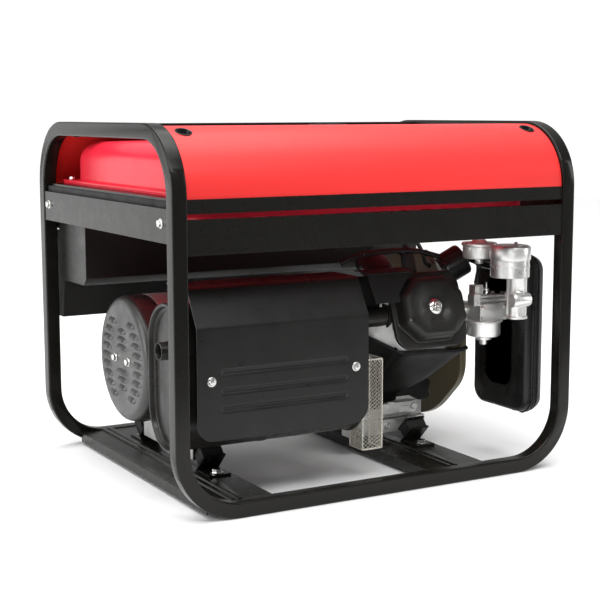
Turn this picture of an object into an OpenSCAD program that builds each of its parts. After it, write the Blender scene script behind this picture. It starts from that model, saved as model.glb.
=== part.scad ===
// Open-frame portable generator, engine and alternator on one shaft, in millimetres.
// X runs along the machine, the exhaust side faces -Y, and the floor is at z = 0.

/* [Frame] */
// Length over the frame tubes
frame_l = 680; // [678:1:684]
// Width over the frame tubes
frame_w = 535; // [534:1:537]
// Height over the frame tubes
frame_h = 543; // [542:1:548]
// Side of the square frame tube
tube = 22; // [21:0.5:23]
// Wall of the frame tube
tube_wall = 2; // [1.5:0.1:2.5]
// Outer radius of every frame bend
bend_r = 100; // [95:1:105]

/* [Engine] */
// Height of the crank axis above the floor
crank_z = 182; // [181:0.5:183]
// Distance of the crank axis from the middle plane
crank_y = 30; // [29:0.5:31]
// Middle of the engine along the frame
engine_x = 141; // [140:0.5:142]
// Rise of the cylinder above the horizontal
cylinder_rise = 20; // [19:0.5:21]
// Cylinder bore
bore_d = 88; // [84:1:88]
// Piston stroke
stroke = 64; // [56:1:64]

/* [Alternator] */
// Outer radius of the alternator barrel
alternator_r = 97.5; // [96:0.5:98]
// Air gap between rotor and stator
air_gap = 0.8; // [0.6:0.1:1.2]

/* [Exhaust] */
// Width of the oval silencer
silencer_w = 128; // [122:1:130]
// Height of the oval silencer
silencer_h = 218; // [212:1:222]

/* [Fuel] */
// Depth of the upper tank shell
tank_top_h = 64; // [58:1:66]
// Depth of the lower tank shell
tank_low_h = 46; // [40:1:50]

/* [Hidden] */
$fn = 64;
half_l = frame_l / 2;
half_w = frame_w / 2;
post_x = half_l - tube / 2;
post_y = half_w - tube / 2;
inner_x = half_l - tube;
inner_y = half_w - tube;
edge_r = 2.5;
sheet = 1.5;
run_gap = 0.06;
clear = 0.5;
sin_r = sin(cylinder_rise);
cos_r = cos(cylinder_rise);

// Crossmembers and engine mounts
rail_x = [-233, 137];
cross_w = 105;
cross_top = 20;
cross_t = 2.5;
mount_x = [-204, 166];
mount_w = 36;
foot_z = 34;
foot_top = 58;
foot_reach = 94;
foot_w = 26;
foot_bolt_z = 51;
rubber_t = 16;
plate_t = 3;

// Sheet metal between the posts
side_panel_z = [368.2, 415.6];
end_panel_z = [383.7, 430.3];
strip_z = [423.5, 443];
flange_z = 443;
tank_flange = 6;
tank_crown = flange_z + tank_flange + tank_top_h;
mount_seat = 140;
cover_inset = 4.5;
cover_t = 1.2;
cover_r = bend_r - cover_inset;
bend_y = half_w - bend_r;
bend_z = frame_h - bend_r;

// Fuel tank
tank_half_x = 312;
tank_half_y = 238;
tank_wall = 1.5;
tank_corner = 48;
neck_x = 60;
neck_y = 10;
neck_r = 30;
gauge_x = -120;
tap_x = 237;
tap_y = -162;
lever_z = 376;

// Control box on the far side
box_x = [-316, 312];
box_back = 124;
box_face = 260;
box_low = 222;
box_high = 383;
face_high = 366;
box_step = 246;
meter_x = -230;
socket_x = [-130, -30];
socket_z = 318;
breaker_x = 65;
key_x = 150;
earth_x = 250;

// Alternator stations along X
cap_x = -296;
cap_end = -254;
stator_x = [-190, -40];
case_x = [58, 203];

// Cylinder stations measured from the crank axis
deck = 84;
barrel_end = 150;
head_end = 196;
flange_end = 203;
boss_end = 228;
head_half = 59;

// Blower and recoil starter
blower_x = [238, 250];
drum_end = 262;
recoil_x = [262.5, 284];
blower_r = 141;
recoil_r = 92;

// Silencer
silencer_x = [-300, 0];
silencer_y = -144;
silencer_z = 181;
shield_x = [-288, -10];
shield_y = -226;
shield_fold = 262;
shield_top_y = -195;
shield_top_z = 316;
shield_back = -125;

// Carburettor and air cleaner
carb_x = 247;
carb_y = -172;
carb_z = [229, 256];
can_x = 253;
can_y = -221;
can_r = 32;
can_z = [236, 352];
cleaner_x = [288, 304];
cleaner_y = [-220, -82];
cleaner_z = [78, 331];
cover_depth = 24;

// ---- drawing helpers ----

// Flat outline drawn in (y, z), swept along X from a to b
module sweep_x(a, b) { translate([a, 0, 0]) rotate([90, 0, 90]) linear_extrude(b - a) children(); }
// Flat outline drawn in (x, z), swept along Y from a to b
module sweep_y(a, b) { translate([0, b, 0]) rotate([90, 0, 0]) linear_extrude(b - a) children(); }
// Flat outline drawn in (x, y), swept along Z from a to b
module sweep_z(a, b) { translate([0, 0, a]) linear_extrude(b - a) children(); }
// Round bars along each axis
module bar_x(a, b, y, z, r) { translate([a, y, z]) rotate([0, 90, 0]) cylinder(h = b - a, r = r); }
module bar_y(a, b, x, z, r) { translate([x, a, z]) rotate([-90, 0, 0]) cylinder(h = b - a, r = r); }
module bar_z(a, b, x, y, r) { translate([x, y, a]) cylinder(h = b - a, r = r); }
// Box from corner a to corner b
module block(a, b) { translate(a) cube(b - a); }
// Turned part about the crank axis: outline drawn in (radius, x)
module turned() {
    translate([0, crank_y, crank_z]) rotate([0, 90, 0]) rotate_extrude($fn = 96) children();
}
// Frame whose z is the cylinder axis, with the crank axis at its origin
module on_cylinder() {
    translate([engine_x, crank_y, crank_z]) rotate([90 - cylinder_rise, 0, 0]) children();
}
// Rectangle with round corners, centred
module soft_rect(w, h, r) {
    square([w, h - 2 * r], center = true);
    square([w - 2 * r, h], center = true);
    for (sx = [-1, 1], sy = [-1, 1])
        translate([sx * (w / 2 - r), sy * (h / 2 - r)]) circle(r);
}
// Ring between two radii from station a to b, for turned()
module ring(r_in, r_out, a, b) { translate([r_in, a]) square([r_out - r_in, b - a]); }
// Copy to both sides of the middle plane
module both_sides() { children(); mirror([0, 1, 0]) children(); }
// Copy to both ends
module both_ends() { children(); mirror([1, 0, 0]) children(); }
// Hexagon head bolt along +Z with its seat at the origin
module hex_bolt(af, head, shank_r, shank) {
    cylinder(h = head, r = af / sqrt(3), $fn = 6);
    translate([0, 0, -shank]) cylinder(h = shank, r = shank_r);
}

// ---- frame ----

module tube_outline() {
    difference() {
        soft_rect(tube, tube, edge_r);
        soft_rect(tube - 2 * tube_wall, tube - 2 * tube_wall, edge_r - 1);
    }
}
module tube_bend() { rotate_extrude(angle = 90) translate([bend_r - tube / 2, 0]) tube_outline(); }
module hoop(x) {
    both_sides() {
        translate([x, post_y, bend_r]) linear_extrude(frame_h - 2 * bend_r) tube_outline();
        translate([x, bend_y, bend_z]) rotate([90, 0, 90]) tube_bend();
    }
    translate([x, -bend_y, frame_h - tube / 2]) rotate([-90, 0, 0]) linear_extrude(2 * bend_y) tube_outline();
}
module bottom_rail(y) {
    translate([-half_l + bend_r, y, tube / 2]) rotate([0, 90, 0])
        linear_extrude(frame_l - 2 * bend_r) tube_outline();
    both_ends() translate([half_l - bend_r, y, bend_r]) rotate([-90, 0, 0]) tube_bend();
}
module frame_hoop_left() { color("#1d1d1c") hoop(-post_x); }
module frame_hoop_right() { color("#1d1d1c") hoop(post_x); }
module bottom_rail_near() { color("#1d1d1c") bottom_rail(-post_y); }
module bottom_rail_far() { color("#1d1d1c") bottom_rail(post_y); }

// Pressed channel with two ribs along it
module crossmember_outline() {
    leg_low = 5;
    translate([-cross_w / 2, cross_top - cross_t]) square([cross_w, cross_t]);
    for (side = [-1, 1])
        translate([side * (cross_w - cross_t) / 2 - cross_t / 2, leg_low]) square([cross_t, cross_top -
            leg_low]);
    for (rib = [-12, 0])
        translate([rib, cross_top]) polygon([[-4.5, -1], [4.5, -1], [2.5, 3], [-2.5, 3]]);
}
module crossmembers() {
    bolt_r = 4.2;
    color("#232322") for (i = [0, 1]) difference() {
        sweep_y(-inner_y, inner_y) translate([rail_x[i], 0]) crossmember_outline();
        for (side = [-1, 1]) bar_z(cross_top - 10, cross_top + 1, mount_x[i], crank_y + side *
            mount_seat, bolt_r);
    }
}

// ---- sheet metal ----

// Lipped channel: face at x = 0, lips reach towards +x
module lipped(z, lip) {
    square_z = z[1] - z[0];
    translate([0, z[0]]) square([sheet, square_z]);
    translate([0, z[0]]) square([lip, sheet]);
    translate([0, z[1] - sheet]) square([lip, sheet]);
}
panel_bolt_y = [-225, 225];
panel_bolt_z = 410;
module end_panels() {
    face = half_l - 1.5;
    color("#262625") both_ends() difference() {
        sweep_y(-inner_y, inner_y) translate([-face, 0]) lipped(end_panel_z, 16);
        for (y = panel_bolt_y) bar_x(-face - 1, -face + 4, y, panel_bolt_z, 3.2);
    }
}
module side_panels() {
    face = half_w - 2.5;
    color("#262625") both_sides()
        translate([-inner_x, 0, 0]) rotate([90, 0, 90]) linear_extrude(2 * inner_x)
            translate([-face, 0]) lipped(side_panel_z, 15);
}
// Angle rails that carry the tank flange, one along each side and one across each end
module tank_rails() {
    rail_in = 22;
    side_face = half_w - 3.5;
    end_face = half_l - 10;
    color("#262625") difference() {
        union() {
            both_sides() sweep_x(-inner_x, inner_x) {
                translate([-side_face, strip_z[0]]) square([sheet, strip_z[1] - strip_z[0]]);
                translate([-side_face, strip_z[1] - sheet]) square([rail_in + 20, sheet]);
            }
            both_ends() sweep_y(-inner_y + 14, inner_y - 14) {
                translate([-end_face, strip_z[1] - 6]) square([sheet, 6]);
                translate([-end_face, strip_z[1] - sheet]) square([rail_in, sheet]);
            }
        }
        at_flange_bolts() bar_z(strip_z[0], strip_z[1] + 1, 0, 0, 3.2);
    }
}
module top_bar() {
    bar = 20;
    color("#2b2b2a") sweep_x(-half_l + tube, half_l - tube)
        translate([bend_y - 12, frame_h - 3 - bar / 2]) difference() {
            soft_rect(bar, bar, 2);
            soft_rect(bar - 3, bar - 3, 1);
        }
}
// Sheet cover that follows the bend from the side strip up over the top edge
module cover_outline(flat) {
    drop = 8;
    translate([-bend_y, bend_z]) difference() {
        circle(cover_r, $fn = 128);
        circle(cover_r - cover_t, $fn = 128);
        translate([0, -2 * bend_r]) square(4 * bend_r);
        translate([-2 * bend_r, -4 * bend_r]) square(4 * bend_r);
    }
    translate([-bend_y, bend_z + cover_r - cover_t]) square([flat, cover_t]);
    translate([-bend_y + flat - cover_t, bend_z + cover_r - drop]) square([cover_t, drop]);
    translate([-bend_y - cover_r, bend_z]) square([10, cover_t]);
}
cover_hole_x = 294;
cover_hole_r = 11.5;
cover_hole_y = 204;
module side_cover(flat) {
    difference() {
        sweep_x(-inner_x + 1, inner_x - 1) cover_outline(flat);
        for (x = [-cover_hole_x, cover_hole_x])
            bar_z(bend_z + 40, frame_h, x, -cover_hole_y, cover_hole_r);
    }
}
module side_cover_near() { color("#f01414") side_cover(42); }
module side_cover_far() { color("#f01414") mirror([0, 1, 0]) side_cover(cover_t); }

// Bolts down through the tank flange into the angle rails
flange_bolt_x = 296;
flange_bolt_y = 229;
module at_flange_bolts() {
    for (x = [-flange_bolt_x, flange_bolt_x], side = [-1, 1]) translate([x, side * flange_bolt_y,
        0]) children();
}
module frame_bolts() {
    face = half_l - 1.5;
    color("#c9c9c6") {
        both_ends() for (y = panel_bolt_y)
            translate([-face, y, panel_bolt_z]) rotate([0, -90, 0]) hex_bolt(10, 5, 3, 8);
        at_flange_bolts() translate([0, 0, flange_z + tank_flange]) hex_bolt(10, 4, 3, 14);
        at_mounts() translate([0, mount_seat, cross_top + plate_t]) hex_bolt(13, 5, 4, 10);
        at_mounts() translate([0, foot_reach + plate_t, foot_bolt_z]) rotate([-90, 0, 0]) hex_bolt(9,
            3.5, 3, 16);
        for (x = shield_bolt_x) translate([x, shield_y, shield_bolt_z]) rotate([90, 0, 0]) hex_bolt(10,
            4, 3, 12);
    }
}

// ---- fuel ----

// Tank plan: rectangle with large corner radii
module tank_plan(inset) {
    soft_rect(2 * (tank_half_x - inset), 2 * (tank_half_y - inset), tank_corner - inset / 2);
}
// Outline standing on its base line with both top corners round
module round_top(w, h, r) {
    translate([-w / 2, 0]) square([w, h - r]);
    translate([-w / 2 + r, 0]) square([w - 2 * r, h]);
    for (side = [-1, 1]) translate([side * (w / 2 - r), h - r]) circle(r);
}
// One pressed shell: the same soft edge along all four sides
module tank_shell(h, inset, r) {
    intersection() {
        linear_extrude(h + 1) tank_plan(inset);
        sweep_x(-tank_half_x, tank_half_x) round_top(2 * (tank_half_y - inset), h, r);
        sweep_y(-tank_half_y, tank_half_y) round_top(2 * (tank_half_x - inset), h, r);
    }
}
module tank_upper(wall) {
    translate([0, 0, flange_z + tank_flange]) tank_shell(tank_top_h - wall, 14 + wall, 30 - wall);
}
module tank_lower(wall) {
    translate([0, 0, flange_z]) mirror([0, 0, 1]) tank_shell(tank_low_h - wall, 18 + wall, 20 - wall);
}
module fuel_tank() {
    color("#e81a1a") difference() {
        union() {
            translate([0, 0, flange_z]) linear_extrude(tank_flange) soft_rect(2 * tank_half_x, 2 *
                tank_half_y, 12);
            tank_upper(0);
            tank_lower(0);
        }
        translate([0, 0, flange_z]) linear_extrude(tank_flange) tank_plan(30);
        tank_upper(tank_wall);
        tank_lower(tank_wall);
        bar_z(tank_crown - 20, tank_crown + 1, neck_x, neck_y, neck_r + clear);
        bar_z(tank_crown - 20, tank_crown + 1, gauge_x, 0, 20);
        bar_z(flange_z - tank_low_h - 1, flange_z, tap_x, tap_y, 6);
        at_flange_bolts() bar_z(flange_z - 1, flange_z + tank_flange + 1, 0, 0, 3.2);
    }
}
// Neck with its strainer cup, held by a flange on the tank crown
module filler_neck() {
    neck_top = tank_crown + 10;
    cup = 34;
    mouth_r = 15;
    mouth_t = 3;
    color("#8f9194") translate([neck_x, neck_y, 0]) difference() {
        union() {
            bar_z(tank_crown, tank_crown + 1.5, 0, 0, neck_r + 6);
            bar_z(tank_crown - 12, neck_top, 0, 0, neck_r);
            bar_z(tank_crown - cup, tank_crown - 10, 0, 0, neck_r - 4);
        }
        bar_z(tank_crown - cup + 1, neck_top - mouth_t, 0, 0, neck_r - 5);
        bar_z(neck_top - mouth_t - 1, neck_top + 1, 0, 0, mouth_r);
        for (turn = [0 : 60 : 300]) rotate(turn)
            block([neck_r - 9, -2, tank_crown - cup + 6], [neck_r, 2, tank_crown - 14]);
    }
}
module fuel_cap() {
    low = tank_crown + 2;
    top = tank_crown + 25;
    color("#1b1b1b") translate([neck_x, neck_y, 0]) difference() {
        union() {
            bar_z(low, top - 4, 0, 0, neck_r + 5);
            bar_z(top - 4, top, 0, 0, neck_r + 2);
            for (turn = [0 : 30 : 330]) rotate(turn) translate([neck_r + 4.5, 0,
                low]) cylinder(h = top - 6 - low, r = 2);
        }
        bar_z(low - 1, tank_crown + 11, 0, 0, neck_r + clear);
    }
}
module fuel_gauge() {
    color("#d8d8d4") {
        bar_z(tank_crown, tank_crown + 6, gauge_x, 0, 25);
        bar_z(tank_crown - 22, tank_crown, gauge_x, 0, 8);
    }
}
// Filter head and outlet under the tank
module fuel_tap() {
    low = flange_z - tank_low_h;
    head_z = [326, 352];
    color("#b9b9b6") difference() {
        union() {
            bar_z(head_z[1], low, tap_x, tap_y, 9);
            bar_z(head_z[0], head_z[1] - 5, tap_x, tap_y, 26);
            bar_z(head_z[1] - 5, head_z[1], tap_x, tap_y, 28);
            bar_z(head_z[0] - 8, head_z[0], tap_x, tap_y, 7);
            bar_z(low - 4, low, tap_x, tap_y, 14);
            bar_y(tap_y + 8, tap_y + 18, tap_x, lever_z, 7);
        }
        bar_z(head_z[0] - 9, low + 1, tap_x, tap_y, 3);
        bar_y(tap_y + 10, tap_y + 19, tap_x, lever_z, 3 + run_gap);
    }
}
module fuel_tap_lever() {
    reach = 21;
    color("#b02018") {
        bar_y(tap_y + 12, tap_y + 24, tap_x, lever_z, 3);
        bar_y(tap_y + 18.5, tap_y + 24, tap_x, lever_z, 8);
        block([tap_x - reach, tap_y + 19, lever_z - 4], [tap_x, tap_y + 23.5, lever_z + 4]);
    }
}
module rod_between(p, q, r) {
    v = q - p;
    translate(p) rotate([0, acos(v[2] / norm(v)), atan2(v[1], v[0])]) cylinder(h = norm(v), r = r);
}
// Hose or lead as straight runs with round joints
module run_through(points, r) {
    for (i = [0 : len(points) - 2]) rod_between(points[i], points[i + 1], r);
    for (i = [1 : len(points) - 2]) translate(points[i]) sphere(r = r + 0.2);
}
fuel_route = [[tap_x, tap_y, 317], [tap_x - 1, tap_y - 1, 307], [carb_x - 21, carb_y + 1, 296],
    [carb_x - 22, carb_y, 287.2]];
module fuel_hose() { color("#202020") run_through(fuel_route, 4); }

// ---- control box ----

// Side view of the box: its top steps down in front to pass under the side panel
module box_outline(t) {
    corner = 12;
    face = box_face - 2 + (t > 0 ? 1 : 0);
    polygon([
        [face, box_low + t], [face, face_high - t], [box_step - t, face_high - t], [box_step - t,
            box_high - t],
        [box_back + t, box_high - t], [box_back + t, 285 + corner], [box_back + corner, 285 + t],
        [228 + t, 285 + t], [236 + t, box_low + t]
    ]);
}
module control_box() {
    color("#1a1a1a") difference() {
        sweep_x(box_x[0], box_x[1]) box_outline(0);
        sweep_x(box_x[0] + sheet, box_x[1] - sheet) box_outline(sheet);
    }
}
module face_hole(x, z, r) { bar_y(box_face - 4, box_face + 1, x, z, r); }
module control_face() {
    color("#262626") difference() {
        sweep_y(box_face - 2, box_face) translate([(box_x[0] + box_x[1]) / 2, (box_low + face_high) / 2])
            soft_rect(box_x[1] - box_x[0] - 4, face_high - box_low - 2, 8);
        for (x = socket_x) face_hole(x, socket_z, 23.5);
        face_hole(meter_x, socket_z, 26.5);
        face_hole(key_x, socket_z, 12.5);
        face_hole(earth_x, 250, 4.5);
        block([breaker_x - 12.5, box_face - 4, socket_z - 24.5], [breaker_x + 12.5, box_face + 1,
            socket_z + 24.5]);
    }
}
module power_sockets() {
    color("#2c2f33") for (x = socket_x) difference() {
        union() {
            bar_y(box_face - 16, box_face + 3, x, socket_z, 23);
            bar_y(box_face, box_face + 3, x, socket_z, 27);
            for (side = [-1, 1])
                block([x + side * 12 - 3, box_face, socket_z + 24], [x + side * 12 + 3, box_face + 6.4,
                    socket_z + 33]);
        }
        bar_y(box_face - 10, box_face + 4, x, socket_z, 18);
        bar_x(x - 16, x + 16, box_face + 4, socket_z + 30, 1.2 + run_gap);
        for (side = [-1, 1]) bar_y(box_face - 15, box_face, x + side * 9.5, socket_z, 2.6);
    }
}
// Hinged lid over one socket, its pin across the top
module socket_flap(x) {
    color("#34383d") difference() {
        union() {
            bar_y(box_face + 3.4, box_face + 5.8, x, socket_z, 24);
            block([x - 8, box_face + 3.4, socket_z + 18], [x + 8, box_face + 5.2, socket_z + 30]);
            bar_x(x - 8.5, x + 8.5, box_face + 4, socket_z + 30, 2.2);
            bar_x(x - 14.5, x + 14.5, box_face + 4, socket_z + 30, 1.2);
        }
        block([x - 30, box_face - 5, socket_z], [x + 30, box_face + 3.3, socket_z + 27]);
    }
}
module socket_flap_left() { socket_flap(socket_x[0]); }
module socket_flap_right() { socket_flap(socket_x[1]); }
module breaker_body() {
    color("#15161a") difference() {
        union() {
            block([breaker_x - 12, box_face - 30, socket_z - 24], [breaker_x + 12, box_face + 2,
                socket_z + 24]);
            block([breaker_x - 16, box_face, socket_z - 28], [breaker_x + 16, box_face + 2, socket_z + 28]);
        }
        block([breaker_x - 6, box_face - 12, socket_z - 15], [breaker_x + 6, box_face + 3, socket_z + 15]);
        bar_x(breaker_x - 8, breaker_x + 8, box_face - 6, socket_z, 1.5 + run_gap);
    }
}
module breaker_toggle() {
    color("#111111") {
        bar_x(breaker_x - 5.5, breaker_x + 5.5, box_face - 6, socket_z, 4);
        bar_x(breaker_x - 7.6, breaker_x + 7.6, box_face - 6, socket_z, 1.5);
        translate([breaker_x - 5, box_face - 6, socket_z]) rotate([-25, 0, 0]) block([0, 0, -2.5], [10,
            12, 2.5]);
    }
}
module key_switch() {
    color("#a9abad") difference() {
        union() {
            bar_y(box_face - 26, box_face + 1.5, key_x, socket_z, 12);
            bar_y(box_face, box_face + 1.5, key_x, socket_z, 16);
        }
        bar_y(box_face - 14, box_face + 2, key_x, socket_z, 4 + run_gap);
    }
}
module ignition_key() {
    color("#c2c4c6") {
        bar_y(box_face - 13, box_face + 2.2, key_x, socket_z, 4);
        difference() {
            block([key_x - 1.2, box_face + 2, socket_z - 9], [key_x + 1.2, box_face + 7, socket_z + 9]);
            bar_x(key_x - 2, key_x + 2, box_face + 4.8, socket_z + 5, 1.2);
        }
    }
}
module voltmeter() {
    color("#202124") difference() {
        union() {
            bar_y(box_face - 28, box_face + 3, meter_x, socket_z, 26);
            bar_y(box_face, box_face + 3, meter_x, socket_z, 30);
        }
        bar_y(box_face + 1.5, box_face + 4, meter_x, socket_z, 24);
    }
}
module earth_terminal() {
    earth_z = 250;
    color("#c8b060") {
        bar_y(box_face - 10, box_face + 7, earth_x, earth_z, 3);
        translate([earth_x, box_face, earth_z]) rotate([-90, 0, 0]) cylinder(h = 2, r = 6.5, $fn = 6);
    }
}

// ---- alternator ----

// Opening under the hood of one louvre, from its place across and above the shaft
module louvre_slot(y, z, width) {
    block([cap_x - 1, crank_y + y - width / 2, crank_z + z - 4.5], [cap_x + 4, crank_y + y + width / 2,
        crank_z + z - 0.5]);
}
module alternator_end_cover() {
    wall = 2.5;
    edge = 14;
    pitch = 14.2;
    louvre_r = 81;
    color("#3c3c3a") difference() {
        turned() difference() {
            union() {
                translate([0, cap_x + edge]) square([alternator_r, cap_end - cap_x - edge - clear / 2]);
                translate([0, cap_x]) square([alternator_r - edge, edge]);
                translate([alternator_r - edge, cap_x + edge]) circle(edge);
            }
            translate([-20, cap_x - 20]) square([20, 100]);
            union() {
                translate([0, cap_x + edge]) square([alternator_r - wall, cap_end - cap_x - edge + 1]);
                translate([0, cap_x + wall]) square([alternator_r - edge, edge]);
                translate([alternator_r - edge, cap_x + edge]) circle(edge - wall);
            }
        }
        for (row = [-4 : 4], side = [-1, 1]) {
            reach = sqrt(pow(louvre_r, 2) - pow(1.12 * row * pitch, 2));
            width = 29 + 9 * (1 - pow(row / 4, 2));
            louvre_slot(side * (reach - width / 2), row * pitch, width);
        }
        for (pair = [[19, 42], [31.3, 38], [43.8, 29]], side = [-1, 1]) louvre_slot(0, side * pair[0],
            pair[1]);
    }
}
// Bolt holes in both feet at one mount station
module foot_bores(x) {
    for (side = [-1, 1]) translate([0, crank_y, 0])
        bar_y(side > 0 ? foot_reach - 16 : -foot_reach - 1, side > 0 ? foot_reach + 1 : -foot_reach +
            16, x, foot_bolt_z, 3.2);
}
module alternator_housing() {
    wall = 4;
    foot_x = [-222, -186];
    color("#6f7072") difference() {
        union() {
            turned() {
                ring(alternator_r - wall, alternator_r, cap_end, 36);
                ring(34, alternator_r - 1, cap_end, cap_end + 6);
                ring(26.1, 34, cap_end, cap_end + 18);
                ring(50, alternator_r, 30, 36);
                ring(50, 62, 36, case_x[0]);
            }
            sweep_x(foot_x[0], foot_x[1]) translate([crank_y, 0])
                polygon([
                    [-foot_reach, foot_z], [foot_reach, foot_z], [foot_reach, foot_top - 2], [66,
                        foot_top + 6],
                    [50, foot_top + 40], [-50, foot_top + 40], [-66, foot_top + 6], [-foot_reach,
                        foot_top - 2]
                ]);
        }
        bar_x(foot_x[0] - 1, foot_x[1] + 1, crank_y, crank_z, alternator_r - wall);
        foot_bores(mount_x[0]);
    }
}
module stator() {
    slot_r = 62;
    color("#a8743c") turned() {
        ring(slot_r, alternator_r - 4.1, stator_x[0], stator_x[1]);
        for (s = [[stator_x[0] - 22, stator_x[0]], [stator_x[1], stator_x[1] + 22]]) ring(slot_r + 3,
            88, s[0], s[1]);
    }
}
module rotor() {
    fan_x = 0;
    color("#80848a") {
        turned() {
            ring(0, 62 - air_gap, stator_x[0] + 2, stator_x[1] - 2);
            ring(0, 15, cap_end + 4, 40);
            ring(0, 84, fan_x, fan_x + 3);
        }
        for (turn = [0 : 30 : 330]) translate([fan_x + 3, crank_y, crank_z]) rotate([turn, 0, 0])
            block([0, 40, -1.5], [14, 82, 1.5]);
    }
}
module rear_bearing() { color("#c4c6c8") turned() ring(15 + run_gap, 26, cap_end + 2, cap_end + 17); }

// ---- mounts ----

// V mount in (distance from the crank plane, z), sloping up and outwards
v_start = [foot_reach + 5, 38];
v_along = [sqrt(0.5), sqrt(0.5)];
v_away = [sqrt(0.5), -sqrt(0.5)];
function v_at(along, away) = v_start + along * v_along + away * v_away;
module v_slab(a, b, near, far) { polygon([v_at(a, near), v_at(b, near), v_at(b, far), v_at(a, far)]); }
module at_mounts() {
    for (x = mount_x, side = [0, 1])
        translate([x, crank_y, 0]) mirror([0, side, 0]) children();
}
module rubber_mounts() {
    color("#161616") at_mounts() sweep_x(-mount_w / 2, mount_w / 2) v_slab(3, 29, 0.02, rubber_t - 0.02);
}
// Upper half: plate on the foot, bent over the top of the rubber
module bracket_upper() {
    bend = v_start - plate_t * v_away;
    polygon([
        [foot_reach, foot_top - 2], [foot_reach + plate_t, foot_top - 2],
        [foot_reach + plate_t, bend[1] + foot_reach + plate_t - bend[0]],
        v_at(32, -plate_t), v_at(32, 0),
        [foot_reach + plate_t, v_start[1] + foot_reach + plate_t - v_start[0]], [foot_reach, foot_z + 2]
    ]);
}
// Lower half: plate under the rubber, bent out along the crossmember
module bracket_lower() {
    near = v_at(0, rubber_t);
    far = v_at(0, rubber_t + plate_t);
    polygon([
        [near[0] + cross_top - near[1], cross_top], v_at(32, rubber_t), v_at(32, rubber_t + plate_t),
        [far[0] + cross_top + plate_t - far[1], cross_top + plate_t],
        [mount_seat + 12, cross_top + plate_t], [mount_seat + 12, cross_top]
    ]);
}
module mount_brackets() {
    color("#1f1f1e") at_mounts() difference() {
        sweep_x(-mount_w / 2, mount_w / 2) {
            bracket_upper();
            bracket_lower();
        }
        bar_z(cross_top - 1, cross_top + 4, 0, mount_seat, 4.2);
        bar_y(foot_reach - 1, foot_reach + plate_t + 1, 0, foot_bolt_z, 3.2);
    }
}

// ---- engine ----

case_bore = 64;
journal_r = 17.5;
module crankcase_outline() {
    deck_half = 56;
    top_corner = deck * [-cos_r, sin_r] + deck_half * [sin_r, cos_r];
    low_corner = deck * [-cos_r, sin_r] - deck_half * [sin_r, cos_r];
    base = foot_top - crank_z;
    polygon([top_corner, [-26, 88], [50, 78], [84, 40], [84, base - 4], [-84, base - 4], [-84, -64],
        low_corner]);
    for (side = [-1, 1])
        translate([side * (foot_reach - foot_w / 2) - foot_w / 2, foot_z - crank_z]) square([foot_w,
            foot_top - foot_z]);
}
dip_at = [100, -52, 84];
dip_tilt = 60;
module on_dipstick() { translate(dip_at) rotate([dip_tilt, 0, 0]) children(); }
module crankcase() {
    fin_pitch = 10;
    color("#b4b4b0") difference() {
        union() {
            sweep_x(case_x[0], case_x[1]) translate([crank_y, crank_z]) crankcase_outline();
            on_cylinder() {
                translate([0, 0, deck - 20]) cylinder(h = barrel_end - deck + 20, r = 53);
                for (fin = [0 : 5]) translate([-head_half, -head_half, deck + 8 + fin *
                    fin_pitch]) cube([2 * head_half, 2 * head_half, 3]);
            }
            on_dipstick() cylinder(h = 12, r = 14);
        }
        bar_x(case_x[0] + 14, case_x[1] - 14, crank_y, crank_z, case_bore);
        block([case_x[0] + 14, crank_y - 66, foot_top + 8], [case_x[1] - 14, crank_y + 66, crank_z - 30]);
        bar_x(case_x[0] - 1, case_x[1] + 1, crank_y, crank_z, journal_r + run_gap);
        on_cylinder() translate([0, 0, 40]) cylinder(h = barrel_end - 39, r = bore_d / 2);
        on_dipstick() translate([0, 0, -30]) cylinder(h = 43, r = 9);
        foot_bores(mount_x[1]);
    }
}
module crank_web(a, b) {
    pin = stroke / 2;
    translate([0, crank_y, crank_z]) rotate([-cylinder_rise, 0, 0]) sweep_x(a, b) {
        circle(25);
        translate([-pin, 0]) circle(21);
        translate([-pin, -21]) square([pin, 42]);
        intersection() {
            circle(56);
            translate([0, -60]) square([60, 120]);
        }
    }
}
module crankshaft() {
    pin = stroke / 2;
    mid = engine_x;
    color("#9a9da1") {
        bar_x(40, mid - 14, crank_y, crank_z, journal_r);
        bar_x(mid + 14, case_x[1] + 6, crank_y, crank_z, journal_r);
        bar_x(case_x[1] + 6, 270, crank_y, crank_z, 14);
        crank_web(mid - 28, mid - 13);
        crank_web(mid + 13, mid + 28);
        translate([0, crank_y - pin * cos_r, crank_z + pin * sin_r]) bar_x(mid - 14, mid + 14, 0, 0, 18);
    }
}
module flywheel() {
    rim = [241.5, 254];
    color("#7a7d80") {
        turned() {
            ring(14.05, 26, rim[0], rim[1] + 6);
            ring(14.05, 100, rim[0], rim[0] + 8);
            ring(80, 100, rim[0], rim[1]);
        }
        for (turn = [0 : 22.5 : 337.5]) translate([rim[1], crank_y, crank_z]) rotate([turn, 0, 0])
            block([-10, 60, -1.5], [4, 96, 1.5]);
    }
}
module blower_outline(grow) {
    hull() {
        translate([crank_y, crank_z]) circle(blower_r + grow, $fn = 96);
        translate([-55, 150]) circle(60 + grow, $fn = 48);
        translate([-55, 216]) circle(60 + grow, $fn = 48);
    }
}
module blower_housing() {
    wall = 2.5;
    drum_r = 110;
    color("#2a2620") difference() {
        union() {
            sweep_x(blower_x[0], blower_x[1]) blower_outline(0);
            bar_x(blower_x[1] - 1, drum_end, crank_y, crank_z, drum_r);
            bar_x(case_x[1], blower_x[0], crank_y, crank_z, 48);
        }
        sweep_x(blower_x[0] + wall, blower_x[1] - wall) blower_outline(-wall);
        bar_x(blower_x[0] + 2 * wall, drum_end - wall, crank_y, crank_z, drum_r - wall);
        bar_x(case_x[1] - 1, blower_x[0] + 2 * wall, crank_y, crank_z, 44);
        bar_x(drum_end - wall - 1, drum_end + 1, crank_y, crank_z, 70);
    }
}
rope_z = crank_z - 6;
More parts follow.
